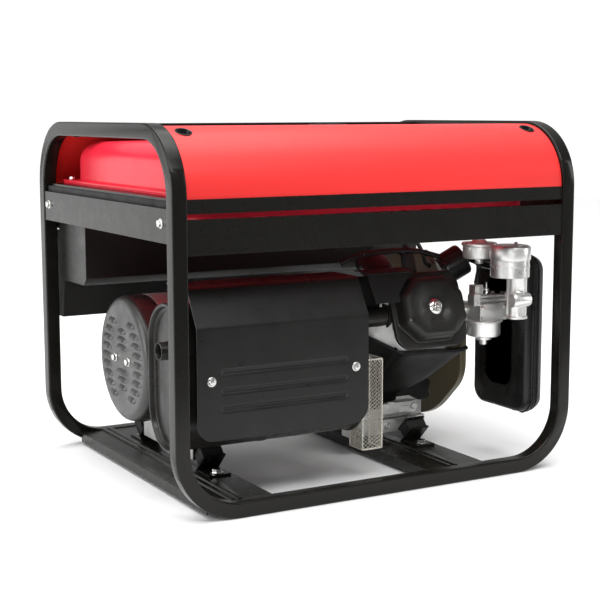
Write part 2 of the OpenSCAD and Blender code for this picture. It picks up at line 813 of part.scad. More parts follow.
module recoil_housing() {
    wall = 2;
    mid = (recoil_x[0] + recoil_x[1]) / 2;
    color("#20201f") difference() {
        union() {
            turned() {
                ring(recoil_r - wall, recoil_r, recoil_x[0], recoil_x[1] - 6);
                ring(recoil_r - 8, recoil_r, recoil_x[0], recoil_x[0] + wall);
                ring(0, recoil_r, recoil_x[1] - 6 - wall, recoil_x[1] - 6);
                ring(0, 40, recoil_x[1] - 6, recoil_x[1]);
            }
            bar_y(crank_y + recoil_r - 6, crank_y + recoil_r + 6, mid - 2, rope_z, 8);
        }
        bar_y(crank_y + recoil_r - 14, crank_y + recoil_r + 7, mid - 2, rope_z, 4);
        for (turn = [0 : 30 : 330]) translate([recoil_x[1] - 9, crank_y, crank_z]) rotate([turn, 0, 0])
            block([0, 50, -6], [4, 78, 6]);
    }
}
module recoil_handle() {
    mid = (recoil_x[0] + recoil_x[1]) / 2 - 2;
    low = crank_y + recoil_r;
    color("#141414") {
        bar_y(low - 8, low + 14, mid, rope_z, 2.5);
        bar_y(low + 7, low + 16, mid, rope_z, 7);
        translate([mid, low + 22, rope_z - 34]) cylinder(h = 62, r = 9);
        for (z = [rope_z - 34, rope_z + 28]) translate([mid, low + 22, z]) sphere(r = 9);
    }
}
module piston() {
    color("#b9bcc0") on_cylinder() difference() {
        translate([0, 0, 96]) cylinder(h = 50, r = bore_d / 2 - 0.1);
        translate([0, 0, 95]) cylinder(h = 42, r = bore_d / 2 - 6);
    }
}
module cylinder_head() {
    port_r = 17;
    color("#c6c6c2") on_cylinder() difference() {
        union() {
            translate([-head_half, -head_half, barrel_end]) cube([2 * head_half, 2 * head_half, 8]);
            translate([-head_half + 8, -head_half + 8, barrel_end]) cube([2 * head_half - 16, 2 *
                head_half - 16, head_end - barrel_end]);
            for (fin = [1 : 3]) translate([-head_half, -head_half, barrel_end + 4 + 9 * fin]) cube([2 *
                head_half, 2 * head_half, 3]);
            translate([-head_half, -head_half, head_end - 6]) cube([2 * head_half, 2 * head_half, 6]);
        }
        translate([0, 0, barrel_end - 1]) cylinder(h = 9, r = bore_d / 2 - 2);
        translate([0, head_half - 30, (barrel_end + head_end) / 2]) rotate([-90, 0,
            0]) cylinder(h = 40, r = 7.5);
        for (side = [-1, 1]) translate([side * (head_half - 25), 0, (barrel_end + head_end) / 2])
            rotate([0, side * 90, 0]) cylinder(h = 40, r = port_r - 4);
    }
}
// Rocker cover: flange with a chamfered raised boss and one bolt in the middle
module boss_outline(w, h, cut) {
    polygon([
        [-w / 2 + cut, -h / 2], [w / 2 - cut, -h / 2], [w / 2, -h / 2 + cut], [w / 2, h / 2 - cut],
        [w / 2 - cut, h / 2], [-w / 2 + cut, h / 2], [-w / 2, h / 2 - cut], [-w / 2, -h / 2 + cut]
    ]);
}
module head_cover() {
    color("#1e1e1d") on_cylinder() difference() {
        union() {
            translate([0, 0, head_end]) linear_extrude(flange_end - head_end) soft_rect(134, 122, 26);
            translate([0, 0, flange_end]) linear_extrude(boss_end - flange_end) boss_outline(118, 100, 28);
        }
        translate([0, 0, head_end - 1]) linear_extrude(boss_end - head_end - 2) boss_outline(110, 92, 26);
        translate([0, 0, boss_end - 6]) cylinder(h = 10, r = 4.5);
    }
    color("#d0d0cd") on_cylinder() {
        translate([0, 0, boss_end]) cylinder(h = 4, r = 10);
        translate([0, 0, boss_end + 4]) cylinder(h = 6, r = 6.5, $fn = 6);
        translate([0, 0, boss_end - 3]) cylinder(h = 3, r = 4.5);
    }
}
// Cap on the plug and its lead to the coil behind the blower
lead_route = [
    [141, -96, 342], [141, -92, 352], [158, -84, 357], [186, -62, 346], [212, -40, 326], [226, -28,
        308], [237.6, -24, 300]
];
module spark_plug() {
    plug = (barrel_end + head_end) / 2;
    color("#1a1a1a") {
        on_cylinder() translate([0, 0, plug]) rotate([-90, 0, 0]) {
            translate([0, 0, head_half - 24]) cylinder(h = 28, r = 7);
            translate([0, 0, head_half + 4]) cylinder(h = 34, r = 11);
            translate([0, 0, head_half + 38]) cylinder(h = 14, r = 5);
        }
        run_through(lead_route, 3.5);
    }
}
// Cup of the crankcase breather with the hose that feeds its vapour back to the intake
module breather() {
    axis = [0.8, -0.3, 0.5] / norm([0.8, -0.3, 0.5]);
    mid = [230, -103, 312];
    half = 20;
    color("#191919") {
        rod_between(mid - half * axis, mid + half * axis, 26);
        rod_between(mid - (half + 4) * axis, mid - (half - 2) * axis, 22);
        run_through([mid + (half - 6) * axis, [254, -116, 318], [257, -142, 314], [255, -170, 314],
            [253, -188.7, 314]], 6);
    }
}
module dipstick() {
    color("#151515") on_dipstick() {
        translate([0, 0, 12.5]) cylinder(h = 9, r = 15, $fn = 12);
        translate([0, 0, -2]) cylinder(h = 15, r = 8.4);
        translate([0, 0, -24]) cylinder(h = 24, r = 2.5);
    }
}

// ---- intake ----

port_pipe_y = -137;
module carburettor() {
    mid_z = (carb_z[0] + carb_z[1]) / 2;
    throat_y = carb_y + 4;
    port_face = engine_x + head_half + 0.5;
    elbow_x = [carb_x - 26, carb_x - 10];
    color("#c2c2be") difference() {
        union() {
            block([carb_x - 26, carb_y - 17, carb_z[0]], [carb_x + 26, carb_y + 17, carb_z[1]]);
            block([carb_x - 36, carb_y - 14, carb_z[1] - 2], [carb_x - 24, carb_y + 2, carb_z[1] + 16]);
            block([carb_x + 27, carb_y - 14, carb_z[1] - 8], [carb_x + 38, carb_y + 2, carb_z[1] + 16]);
            block([carb_x + 20, carb_y - 13, carb_z[1] - 8], [carb_x + 30, carb_y + 1, carb_z[1] + 3]);
            block([carb_x - 28, carb_y - 6, carb_z[1] - 2], [carb_x + 28, carb_y + 14, carb_z[1] + 12]);
            for (z = [carb_z[1] + 5, carb_z[1] + 12]) bar_x(carb_x - 26, carb_x + 28, carb_y - 10, z, 3);
            block([carb_x - 30, carb_y - 8, carb_z[1] + 10], [carb_x - 14, carb_y + 8, carb_z[1] + 30]);
            block([elbow_x[0] + 1, carb_y + 10, carb_z[0] + 1.5], [elbow_x[1], port_pipe_y + 13.5,
                carb_z[1] - 1.5]);
            bar_x(port_face, elbow_x[1] - 2, port_pipe_y, mid_z, 13);
            bar_x(port_face, port_face + 6, port_pipe_y, mid_z, 18);
            bar_x(carb_x + 24, cleaner_x[0] - 0.5, throat_y, mid_z, 12.5);
        }
        bar_x(port_face - 1, elbow_x[0] + 11, port_pipe_y, mid_z, 9);
        bar_y(throat_y - 5, port_pipe_y + 5, elbow_x[0] + 8, mid_z, 6);
        bar_x(elbow_x[0] + 5, cleaner_x[0], throat_y, mid_z, 8);
        bar_z(carb_z[1] + 20, carb_z[1] + 31, carb_x - 22, carb_y, 2.5);
    }
}
module float_bowl() {
    color("#b4b4b0") {
        bar_z(carb_z[0] - 3, carb_z[0], carb_x - 6, carb_y, 30);
        bar_z(carb_z[0] - 26, carb_z[0] - 3, carb_x - 6, carb_y, 27);
        bar_z(carb_z[0] - 32, carb_z[0] - 26, carb_x - 6, carb_y, 13);
        bar_z(carb_z[0] - 40, carb_z[0] - 32, carb_x - 6, carb_y, 6);
    }
}
choke_x = carb_x + 16;
choke_y = carb_y + 8;
module choke_lever() {
    low = carb_z[1] + 12;
    color("#8c8f93") {
        bar_z(low + 0.3, low + 5, choke_x, choke_y, 4);
        block([choke_x - 3.5, choke_y, low + 2], [choke_x + 3.5, choke_y + 34, low + 5]);
        bar_z(low + 2, low + 9, choke_x, choke_y + 34, 4);
    }
}
module intake_canister() {
    cut_z = 288;
    rim = 22;
    color("#cacac6") {
        difference() {
            union() {
                bar_z(can_z[0], can_z[1] - rim, can_x, can_y, can_r - 1.5);
                bar_z(can_z[1] - rim, can_z[1] - 2, can_x, can_y, can_r);
                bar_z(can_z[1] - 2, can_z[1], can_x, can_y, can_r - 2);
                bar_z(can_z[0], can_z[0] + 4, can_x, can_y, can_r - 0.5);
            }
            block([can_x - 40, can_y - 40, can_z[0] - 1], [can_x + 6, can_y + 40, cut_z]);
        }
        bar_x(can_x - 14, can_x + 20, can_y - 22, 268, 11);
        bar_x(can_x + 20, can_x + 27, can_y - 22, 268, 3);
    }
}
module air_cleaner_case() {
    mid = [(cleaner_y[0] + cleaner_y[1]) / 2, (cleaner_z[0] + cleaner_z[1]) / 2];
    size = [cleaner_y[1] - cleaner_y[0], cleaner_z[1] - cleaner_z[0]];
    color("#121212") difference() {
        sweep_x(cleaner_x[0], cleaner_x[1]) translate(mid) soft_rect(size[0], size[1], 24);
        sweep_x(cleaner_x[0] + 2, cleaner_x[1] + 1) translate(mid) soft_rect(size[0] - 4, size[1] - 4, 22);
        bar_x(cleaner_x[0] - 1, cleaner_x[0] + 3, carb_y + 4, (carb_z[0] + carb_z[1]) / 2, 11);
    }
}
module air_cleaner_cover() {
    mid = [(cleaner_y[0] + cleaner_y[1]) / 2, (cleaner_z[0] + cleaner_z[1]) / 2];
    size = [cleaner_y[1] - cleaner_y[0], cleaner_z[1] - cleaner_z[0]];
    low = cleaner_x[1] + 0.4;
    color("#161616") difference() {
        union() {
            sweep_x(low, low + cover_depth - 6) translate(mid) soft_rect(size[0], size[1], 24);
            sweep_x(low, low + cover_depth) translate(mid) soft_rect(size[0] - 14, size[1] - 14, 20);
        }
        sweep_x(low - 1, low + cover_depth - 8) translate(mid) soft_rect(size[0] - 4, size[1] - 4, 22);
    }
    color("#c4c4c0") for (y = [-196, -176])
        block([cleaner_x[1] + 1, y - 2, cleaner_z[0] - 3], [cleaner_x[1] + 9, y + 2, cleaner_z[0] + 0.5]);
}
module air_filter() {
    color("#4a4436") block([cleaner_x[0] + 4, cleaner_y[0] + 14, cleaner_z[0] + 30], [cleaner_x[1],
        cleaner_y[1] - 14, cleaner_z[1] - 90]);
}

// ---- exhaust ----

module oval(grow) {
    r = silencer_w / 2 + grow;
    straight = silencer_h - silencer_w;
    translate([silencer_y, silencer_z]) {
        square([2 * r, straight], center = true);
        for (side = [-1, 1]) translate([0, side * straight / 2]) circle(r);
    }
}
tail_y = -147;
tail_z = 222;
port_y = crank_y - cos_r * (barrel_end + head_end) / 2;
port_z = crank_z + sin_r * (barrel_end + head_end) / 2;
shield_bolt_x = [-266, -31];
shield_bolt_z = 187;
module muffler() {
    rim = 5;
    dish = 8;
    cap = 2;
    tail_r = 13;
    pipe_r = 15;
    face_x = -half_l + 28;
    port_x = engine_x - head_half - 0.5;
    left = silencer_x[0];
    right = silencer_x[1];
    color("#262524") difference() {
        union() {
            difference() {
                union() {
                    sweep_x(left + 1, right - 1) oval(-3);
                    for (x = [left, right - rim]) sweep_x(x, x + rim) oval(0);
                }
                sweep_x(left - 1, left + dish) oval(-6);
                sweep_x(right - dish, right + 1) oval(-6);
                sweep_x(left + dish + cap, right - dish - cap) oval(-4.5);
            }
            bar_x(face_x, left + dish + cap + 2, tail_y, tail_z, tail_r);
            bar_x(right - dish - cap - 2, port_x, port_y, port_z, pipe_r);
            bar_x(port_x - 6, port_x, port_y, port_z, pipe_r + 5.5);
            for (x = shield_bolt_x) bar_y(shield_y + sheet, silencer_y - silencer_w / 2 + 8, x,
                shield_bolt_z, 7);
        }
        bar_x(face_x - 1, left + dish + cap + 3, tail_y, tail_z, tail_r - 2);
        bar_x(right - dish - cap - 3, port_x + 1, port_y, port_z, pipe_r - 2);
        for (x = shield_bolt_x) bar_y(shield_y, silencer_y - silencer_w / 2 + 2, x, shield_bolt_z, 3.2);
    }
}
// Bent plate in front of the silencer: upright face, sloping top and a lip over it
module heat_shield() {
    low = 102;
    corner = 25;
    run = shield_x[1] - shield_x[0];
    out = [[shield_y, low], [shield_y, shield_fold], [shield_top_y, shield_top_z], [shield_back,
        shield_top_z]];
    inner = [
        [shield_back, shield_top_z - sheet], [shield_top_y + 0.8, shield_top_z - sheet],
        [shield_y + sheet, shield_fold - 0.4], [shield_y + sheet, low]
    ];
    color("#2e2d2c") difference() {
        intersection() {
            sweep_x(shield_x[0], shield_x[1]) polygon(concat(out, inner));
            sweep_y(shield_y - 1, shield_back + 1)
                translate([(shield_x[0] + shield_x[1]) / 2, low + 150]) soft_rect(run, 300, corner);
        }
        for (x = shield_bolt_x) bar_y(shield_y - 1, shield_y + 3, x, shield_bolt_z, 3.4);
    }
}
// Small plate beside the rocker cover, sloping down from its lip and cut away over the cover
module head_shield() {
    x = [26, 109];
    color("#2e2d2c") intersection() {
        sweep_x(x[0] - 4, x[1] + 4) polygon([
            [-178, 270], [-160, 316], [-126, 316], [-126, 314.5], [-159, 314.5], [-176.6, 269.6]
        ]);
        sweep_y(-190, -120) polygon([
            [x[0], 317], [34, 269], [77, 269], [77, 280], [93, 298], [x[1], 310], [x[1], 317]
        ]);
    }
}
// Slotted guard wrapped round the hot end
module muffler_guard() {
    x = [3, 39];
    y = [-190, -152];
    z = [48, 188];
    t = 1.2;
    slot = [9, 5];
    color("#8a7f6a") difference() {
        sweep_z(z[0], z[1]) {
            translate([x[0], y[0]]) square([x[1] - x[0], t]);
            for (side = [x[0], x[1] - t]) translate([side, y[0]]) square([t, y[1] - y[0]]);
        }
        for (row = [0 : 11], column = [0 : 1])
            block(
                [x[0] + 7 + column * 13, y[0] - 1, z[0] + 8 + row * 10.6],
                [x[0] + 7 + column * 13 + slot[0], y[0] + 3, z[0] + 8 + row * 10.6 + slot[1]]
            );
    }
}

frame_hoop_left();
frame_hoop_right();
bottom_rail_near();
bottom_rail_far();
crossmembers();
end_panels();
side_panels();
tank_rails();
top_bar();
side_cover_near();
side_cover_far();
frame_bolts();
fuel_tank();
filler_neck();
fuel_cap();
fuel_gauge();
fuel_tap();
fuel_tap_lever();
fuel_hose();
control_box();
control_face();
power_sockets();
socket_flap_left();
socket_flap_right();
breaker_body();
breaker_toggle();
key_switch();
ignition_key();
voltmeter();
earth_terminal();
alternator_end_cover();
alternator_housing();
stator();
rotor();
rear_bearing();
rubber_mounts();
mount_brackets();
crankcase();
crankshaft();
flywheel();
blower_housing();
recoil_housing();
recoil_handle();
piston();
cylinder_head();
head_cover();
spark_plug();
breather();
dipstick();
carburettor();
float_bowl();
choke_lever();
intake_canister();
air_cleaner_case();
air_cleaner_cover();
air_filter();
muffler();
heat_shield();
head_shield();
muffler_guard();
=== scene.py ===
"""Looks of the open-frame portable generator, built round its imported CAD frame.

Sizes are in millimetres in the helpers and in metres in the scene. +X runs along the shaft from the alternator
to the recoil starter, +Y from the exhaust side to the control panel side, and the floor is at z = 0.
"""
import math

import bmesh
import bpy
from mathutils import Matrix, Vector


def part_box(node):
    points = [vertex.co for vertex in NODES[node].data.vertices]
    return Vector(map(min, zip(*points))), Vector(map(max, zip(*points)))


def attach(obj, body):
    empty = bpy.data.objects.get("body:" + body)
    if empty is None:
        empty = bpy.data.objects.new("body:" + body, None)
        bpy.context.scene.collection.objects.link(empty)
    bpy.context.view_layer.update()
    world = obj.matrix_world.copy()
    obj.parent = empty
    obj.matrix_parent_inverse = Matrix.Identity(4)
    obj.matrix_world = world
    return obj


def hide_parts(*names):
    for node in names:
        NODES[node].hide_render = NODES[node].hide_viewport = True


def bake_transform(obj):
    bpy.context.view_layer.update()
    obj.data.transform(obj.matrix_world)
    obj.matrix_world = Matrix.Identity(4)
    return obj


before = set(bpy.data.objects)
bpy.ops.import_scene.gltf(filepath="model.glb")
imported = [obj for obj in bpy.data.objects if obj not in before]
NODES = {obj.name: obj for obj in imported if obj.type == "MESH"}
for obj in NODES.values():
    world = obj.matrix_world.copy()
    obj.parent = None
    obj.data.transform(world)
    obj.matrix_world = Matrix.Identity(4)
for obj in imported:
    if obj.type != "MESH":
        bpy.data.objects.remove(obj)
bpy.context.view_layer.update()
MM = 0.001
MAIN = "machine"
EAST, NORTH, UP = (1, 0, 0), (0, 1, 0), (0, 0, 1)
WEST, SOUTH = (-1, 0, 0), (0, -1, 0)
WELD = 0.004  # points closer than this are one point, in millimetres
AXIS_Y, AXIS_Z = 30, 182  # the shaft


def box(node):
    """Lowest and highest corner of a CAD node, in millimetres."""
    lo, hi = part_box(node)
    return lo / MM, hi / MM


# ---------------------------------------------------------------- mesh tools

def frame_of(axis):
    """Two directions square to an axis, and the axis."""
    z = Vector(axis).normalized()
    helper = Vector(UP) if abs(z.z) < 0.9 else Vector(NORTH)
    x = helper.cross(z).normalized()
    return x, z.cross(x), z


def arc(cx, cy, r, start, end, steps):
    """Points of an arc, with angles in degrees."""
    return [(cx + r * math.cos(math.radians(start + (end - start) * i / steps)),
        cy + r * math.sin(math.radians(start + (end - start) * i / steps))) for i in range(steps + 1)]


def round_rect(w, h, r, steps=8, cx=0.0, cy=0.0):
    """Rectangle with round corners, anticlockwise."""
    r = max(min(r, w / 2 - 0.01, h / 2 - 0.01), 0.01)
    out = []
    for sx, sy, a in ((1, 1, 0), (-1, 1, 90), (-1, -1, 180), (1, -1, 270)):
        out += arc(cx + sx * (w / 2 - r), cy + sy * (h / 2 - r), r, a, a + 90, steps)
    return out


def filleted(points, radii, steps=6, closed=True):
    """Polygon or open line with its corners rounded."""
    if not hasattr(radii, "__len__"):
        radii = [radii] * len(points)
    out = []
    n = len(points)
    for i, p in enumerate(points):
        p = Vector(p)
        if (not closed and i in (0, n - 1)) or radii[i] <= 0:
            out.append(tuple(p))
            continue
        a, b = Vector(points[i - 1]) - p, Vector(points[(i + 1) % n]) - p
        half = a.angle(b) / 2
        cut = min(radii[i] / math.tan(half), a.length * 0.49, b.length * 0.49)
        r = cut * math.tan(half)
        centre = p + (a.normalized() + b.normalized()).normalized() * (r / math.sin(half))
        start, end = p + a.normalized() * cut - centre, p + b.normalized() * cut - centre
        for k in range(steps + 1):
            t = k / steps
            out.append(tuple(centre + start.slerp(end, t)) if len(p) == 3
                else tuple(centre + (start.lerp(end, t)).normalized() * r))
    return out


def smooth_line(points, per=8):
    """Curve through points, as more points (Catmull-Rom)."""
    pts = [Vector(p) for p in points]
    pts = [pts[0] * 2 - pts[1]] + pts + [pts[-1] * 2 - pts[-2]]
    out = []
    for a, b, c, d in zip(pts, pts[1:], pts[2:], pts[3:]):
        for k in range(per):
            t = k / per
            out.append(
                0.5 * ((2 * b) + (c - a) * t + (2 * a - 5 * b + 4 * c - d) * t * t + (
                3 * b - a - 3 * c + d) * t ** 3))
    return out + [pts[-2]]


def turn(sides):
    """Angles of a full turn in equal steps."""
    return [2 * math.pi * k / sides for k in range(sides)]


def spoke(x, y, a):
    """Direction at an angle from x towards y."""
    return x * math.cos(a) + y * math.sin(a)


class Shape:
    """Faces gathered for one piece, in millimetres. Each face has a material number."""

    def __init__(self):
        self.points, self.faces, self.slots = [], [], []

    def add(self, points, faces, slot=0):
        n = len(self.points)
        self.points += [tuple(p) for p in points]
        self.faces += [[n + i for i in f] for f in faces]
        self.slots += [slot] * len(faces)
        return self

    def loft(self, rings, slot=0, caps=(True, True), closed=True):
        n = len(rings[0])
        faces = []
        for k in range(len(rings) - 1):
            for i in range(n if closed else n - 1):
                j = (i + 1) % n
                faces.append([k * n + i, k * n + j, (k + 1) * n + j, (k + 1) * n + i])
        if caps[0]:
            faces.append(list(range(n))[::-1])
        if caps[1]:
            faces.append([(len(rings) - 1) * n + i for i in range(n)])
        return self.add([p for r in rings for p in r], faces, slot)

    def lathe(self, profile, at, axis, sides=48, slot=0, closed=False):
        """Turns (radius, distance along the axis) points about an axis; closed joins the last to the first."""
        x, y, z = frame_of(axis)
        at = Vector(at)
        ring = [spoke(x, y, a) for a in turn(sides)]
        rings = [[at + z * t + q * max(r, 0.001) for q in ring] for r, t in profile]
        if closed:
            rings.append(rings[0])
        return self.loft(rings, slot, caps=(not closed, not closed))

    def prism(self, outline, a, b, plane="x", slot=0):
        """Flat outline pushed along x, y or z from a to b."""
        place = {"x": lambda p, t: (t, p[0], p[1]), "y": lambda p, t: (p[0], t, p[1]),
            "z": lambda p, t: (p[0], p[1], t)}[plane]
        return self.loft([[place(p, a) for p in outline], [place(p, b) for p in outline]], slot)

    def soft_block(self, centre, size, corner, edge, axis="z", steps=6, both=True, slot=0):
        """Block with round corners in plan and a round edge at its far end, or at both ends, along the axis."""
        a = "xyz".index(axis)
        u, v = [i for i in range(3) if i != a]
        w, h, d = size[u], size[v], size[a]
        turns = [math.radians(90 * i / steps) for i in range(steps + 1)]
        levels = [(-d / 2, 0)]
        if both:
            levels = [(-d / 2 + edge - edge * math.cos(q), edge - edge * math.sin(q)) for q in turns]
        levels += [(d / 2 - edge + edge * math.sin(q), edge - edge * math.cos(q)) for q in turns]
        rings = []
        for t, inset in levels:
            ring = []
            for p in round_rect(w - 2 * inset, h - 2 * inset, max(corner - inset, 0.3), 6):
                q = [0, 0, 0]
                q[u], q[v], q[a] = centre[u] + p[0], centre[v] + p[1], centre[a] + t
                ring.append(q)
            rings.append(ring)
        return self.loft(rings, slot)

    def tube(self, path, r, sides=14, slot=0, caps=True):
        """Round bar or hose along a line; r may be a list, one for each point."""
        path = [Vector(p) for p in path]
        radii = r if hasattr(r, "__len__") else [r] * len(path)
        rings, side = [], None
        for i, p in enumerate(path):
            along = (path[min(i + 1, len(path) - 1)] - path[max(i - 1, 0)]).normalized()
            if side is None:
                side = frame_of(along)[0]
            side = (side - along * side.dot(along)).normalized()
            up = along.cross(side)
            rings.append([p + spoke(side, up, a) * radii[i] for a in turn(sides)])
        return self.loft(rings, slot, caps=(caps, caps))

    def hexagon(self, at, axis, across, height, washer=0.0, thick=1.2, slot=0, dish=True):
        """Hexagon bolt head with a chamfered top, standing on a round flange."""
        x, y, z = frame_of(axis)
        at = Vector(at)
        if washer:
            self.lathe([(0, 0), (washer - 0.4, 0), (washer, 0.4), (washer, thick - 0.4), (washer - 0.4, thick),
                (0, thick)], at, axis, 32, slot)
            at = at + z * thick
        corner = across / math.sqrt(3)
        outline = [(a, across / 2 / math.cos(a % (math.pi / 3) - math.pi / 6)) for a in turn(36)]
        rings = []
        for t, cap in ((0, corner), (height - 0.9, corner), (height - 0.35, across / 2 * 1.06),
                (height, across / 2 * 0.93)):
            rings.append([at + z * t + spoke(x, y, a) * min(q, cap) for a, q in outline])
        if dish:
            rings.append([at + z * (height - 0.35) + spoke(x, y, a) * across * 0.3 for a, q in outline])
        return self.loft(rings, slot)

    def sheet(self, front, back, slot=0):
        """Two matching grids of points joined round their edges, for bent or pressed sheet metal."""
        rows, cols = len(front), len(front[0])
        n = rows * cols
        faces = []
        for i in range(rows - 1):
            for j in range(cols - 1):
                a = i * cols + j
                faces.append([a, a + 1, a + cols + 1, a + cols])
                faces.append([n + a + cols, n + a + cols + 1, n + a + 1, n + a])
        edge = list(range(cols)) + [i * cols + cols - 1 for i in range(1, rows)]
        edge += [(rows - 1) * cols + j for j in range(cols - 2, -1, -1)] + [i * cols
            for i in range(rows - 2, 0, -1)]
        faces += [[q, p, n + p, n + q] for p, q in zip(edge, edge[1:] + edge[:1])]
        return self.add([p for row in front for p in row] + [p for row in back for p in row], faces, slot)

    def piece(self, name, materials, body=MAIN, slot=None, replaces=(), bevel=0.0, sharp=40):
        """Makes the Blender object, gives it its materials and hangs it on its CAD body."""
        mesh = bpy.data.meshes.new(name)
        mesh.from_pydata([(p[0] * MM, p[1] * MM, p[2] * MM) for p in self.points], [], self.faces)
        mesh.polygons.foreach_set("material_index", self.slots)
        bm = bmesh.new()
        bm.from_mesh(mesh)
        bmesh.ops.remove_doubles(bm, verts=bm.verts, dist=WELD * MM)
        bmesh.ops.dissolve_degenerate(bm, edges=bm.edges, dist=1e-7)
        bmesh.ops.recalc_face_normals(bm, faces=bm.faces)
        bm.to_mesh(mesh)
        bm.free()
        return finish_piece(bpy.data.objects.new(name, mesh), materials, body, replaces, bevel, sharp)


def finish_piece(ob, materials, body, replaces, bevel, sharp):
    if ob.name not in bpy.context.scene.collection.objects:
        bpy.context.scene.collection.objects.link(ob)
    mesh = ob.data
    mesh.materials.clear()
    for m in (materials if isinstance(materials, (list, tuple)) else [materials]):
        mesh.materials.append(m)
    mesh.polygons.foreach_set("use_smooth", [True] * len(mesh.polygons))
    mesh.set_sharp_from_angle(angle=math.radians(sharp))
    if bevel:
        mod = ob.modifiers.new("edges", "BEVEL")
        mod.width = bevel * MM
        mod.segments = 2
        mod.limit_method = "ANGLE"
        mod.angle_limit = math.radians(sharp)
        mod.harden_normals = True
        mod.use_clamp_overlap = True
    if body:
        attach(ob, body)
    if replaces:
        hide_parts(*([replaces] if isinstance(replaces, str) else replaces))
    return ob


def from_cad(node, material, body=MAIN, bevel=0.6, sharp=32):
    """The CAD node's own shape with its flat faces joined up and its edges softened."""
    bm = bmesh.new()
    bm.from_mesh(NODES[node].data)
    bmesh.ops.remove_doubles(bm, verts=bm.verts, dist=2e-6)
    bmesh.ops.dissolve_limit(bm, angle_limit=math.radians(0.6), verts=bm.verts, edges=bm.edges)
    bmesh.ops.recalc_face_normals(bm, faces=bm.faces)
    mesh = bpy.data.meshes.new(node + "_finish")
    bm.to_mesh(mesh)
    bm.free()
    if "material_index" in mesh.attributes:
        mesh.attributes.remove(mesh.attributes["material_index"])
    return finish_piece(bpy.data.objects.new(node + "_finish", mesh), material, body, node, bevel, sharp)


# ---------------------------------------------------------------- materials

def put(tree, kind, sockets, **settings):
    """Adds a shader node with its settings, and gives each of its sockets a value or a link."""
    node = tree.nodes.new("ShaderNode" + kind)
    for key, value in settings.items():
        setattr(node, key, value)
    for key, value in sockets.items():
        if hasattr(value, "is_output"):
            tree.links.new(value, node.inputs[key])
        else:
            node.inputs[key].default_value = value
    return node


def surface(name, colour, rough, metal=0.0, coat=0.0, coat_rough=0.1, specular=0.5, tone=0.12, tone_scale=7.0,
        spread=0.10, grain=0.15, grain_scale=700.0, stretch=(1, 1, 1), pits=0.0, edge_sheen_and_wear=None, sheen_width=1.2,
        sheen_amount=0.5, bands=None):
    """Principled material whose colour, roughness and bump all vary over the surface.

    The edge colour is a lighter rim mixed in along edges: a painted edge highlight, with a little wear; bands
    is the direction, pitch in mm and depth of pressed or laminated lines.
    """
    m = bpy.data.materials.new(name)
    m.use_nodes = True
    tree = m.node_tree
    bsdf = tree.nodes["Principled BSDF"]
    for key, value in (("Metallic", metal), ("Coat Weight", coat), ("Coat Roughness", coat_rough),
            ("Specular IOR Level", specular)):
        bsdf.inputs[key].default_value = value
    where = put(tree, "TexCoord", {}).outputs["Object"]
    stretched = put(tree, "Mapping", {"Scale": stretch, "Vector": where}).outputs["Vector"]

    def noise(scale, detail=3.0, vector=where):
        sockets = {"Scale": scale, "Detail": detail, "Roughness": 0.55, "Vector": vector}
        return put(tree, "TexNoise", sockets).outputs["Fac"]

    def span(value, lo, hi, from_lo=0.3, from_hi=0.7):
        sockets = {"From Min": from_lo, "From Max": from_hi, "To Min": lo, "To Max": hi, "Value": value}
        return put(tree, "MapRange", sockets).outputs["Result"]

    def mix(factor, a, b):
        a, b = (c if hasattr(c, "is_output") else (*c[:3], 1.0) for c in (a, b))
        return put(tree, "Mix", {0: factor, 6: a, 7: b}, data_type="RGBA").outputs[2]

    def times(a, b):
        return put(tree, "Math", {0: a, 1: b}, operation="MULTIPLY", use_clamp=True).outputs[0]

    def bump(height, strength, distance, under=None):
        sockets = {"Strength": strength, "Distance": distance, "Height": height}
        if under:
            sockets["Normal"] = under
        return put(tree, "Bump", sockets).outputs["Normal"]

    dark = [c * (1 - tone) for c in colour]
    light = [min(1.0, c * (1 + tone) + tone * 0.01) for c in colour]
    paint = mix(span(noise(tone_scale), 0, 1), dark, light)
    speck = span(noise(220.0, 2.0), 0, 1, 0.55, 0.75)
    paint = mix(times(speck, tone * 0.8), paint, [min(1, c * 1.5 + 0.01) for c in colour])
    roughness = span(noise(38.0, 5.0, stretched), max(rough - spread, 0.02), min(rough + spread, 1.0))
    # Lighter colour along edges, found with the Bevel node: a painted edge highlight, with a little wear.
    if edge_sheen_and_wear is not None:
        edge = put(tree, "Bevel", {"Radius": sheen_width * MM}, samples=4)
        flat = put(tree, "NewGeometry", {}).outputs["Normal"]
        dot = put(tree, "VectorMath", {0: edge.outputs[0], 1: flat}, operation="DOT_PRODUCT")
        edge_mask = span(dot.outputs["Value"], 1, 0, 0.80, 0.985)
        sheen_and_wear_patches = times(times(edge_mask, span(noise(90.0, 4.0), 0, 1, 0.42, 0.62)), sheen_amount)
        paint = mix(sheen_and_wear_patches, paint, edge_sheen_and_wear)
    normal = bump(noise(grain_scale, 2.0, stretched), grain, 0.0004)
    if pits:
        normal = bump(noise(150.0, 4.0), pits, 0.001, normal)
    if bands:
        direction, pitch, depth = bands
        sockets = {"Scale": 2 * math.pi / 20 / (pitch * MM), "Distortion": 0.3, "Vector": where}
        wave = put(tree, "TexWave", sockets, bands_direction=direction)
        normal = bump(wave.outputs["Fac"], depth, 0.001, normal)
    for key, value in (("Base Color", paint), ("Roughness", roughness), ("Normal", normal)):
        tree.links.new(value, bsdf.inputs[key])
    return m


def clear(name, tint=(0.95, 0.97, 0.97), rough=0.03):
    m = surface(name, tint, rough + 0.03, tone=0.02, spread=0.02, grain=0.02)
    b = m.node_tree.nodes["Principled BSDF"]
    b.inputs["Transmission Weight"].default_value = 0.92
    b.inputs["IOR"].default_value = 1.46
    return m


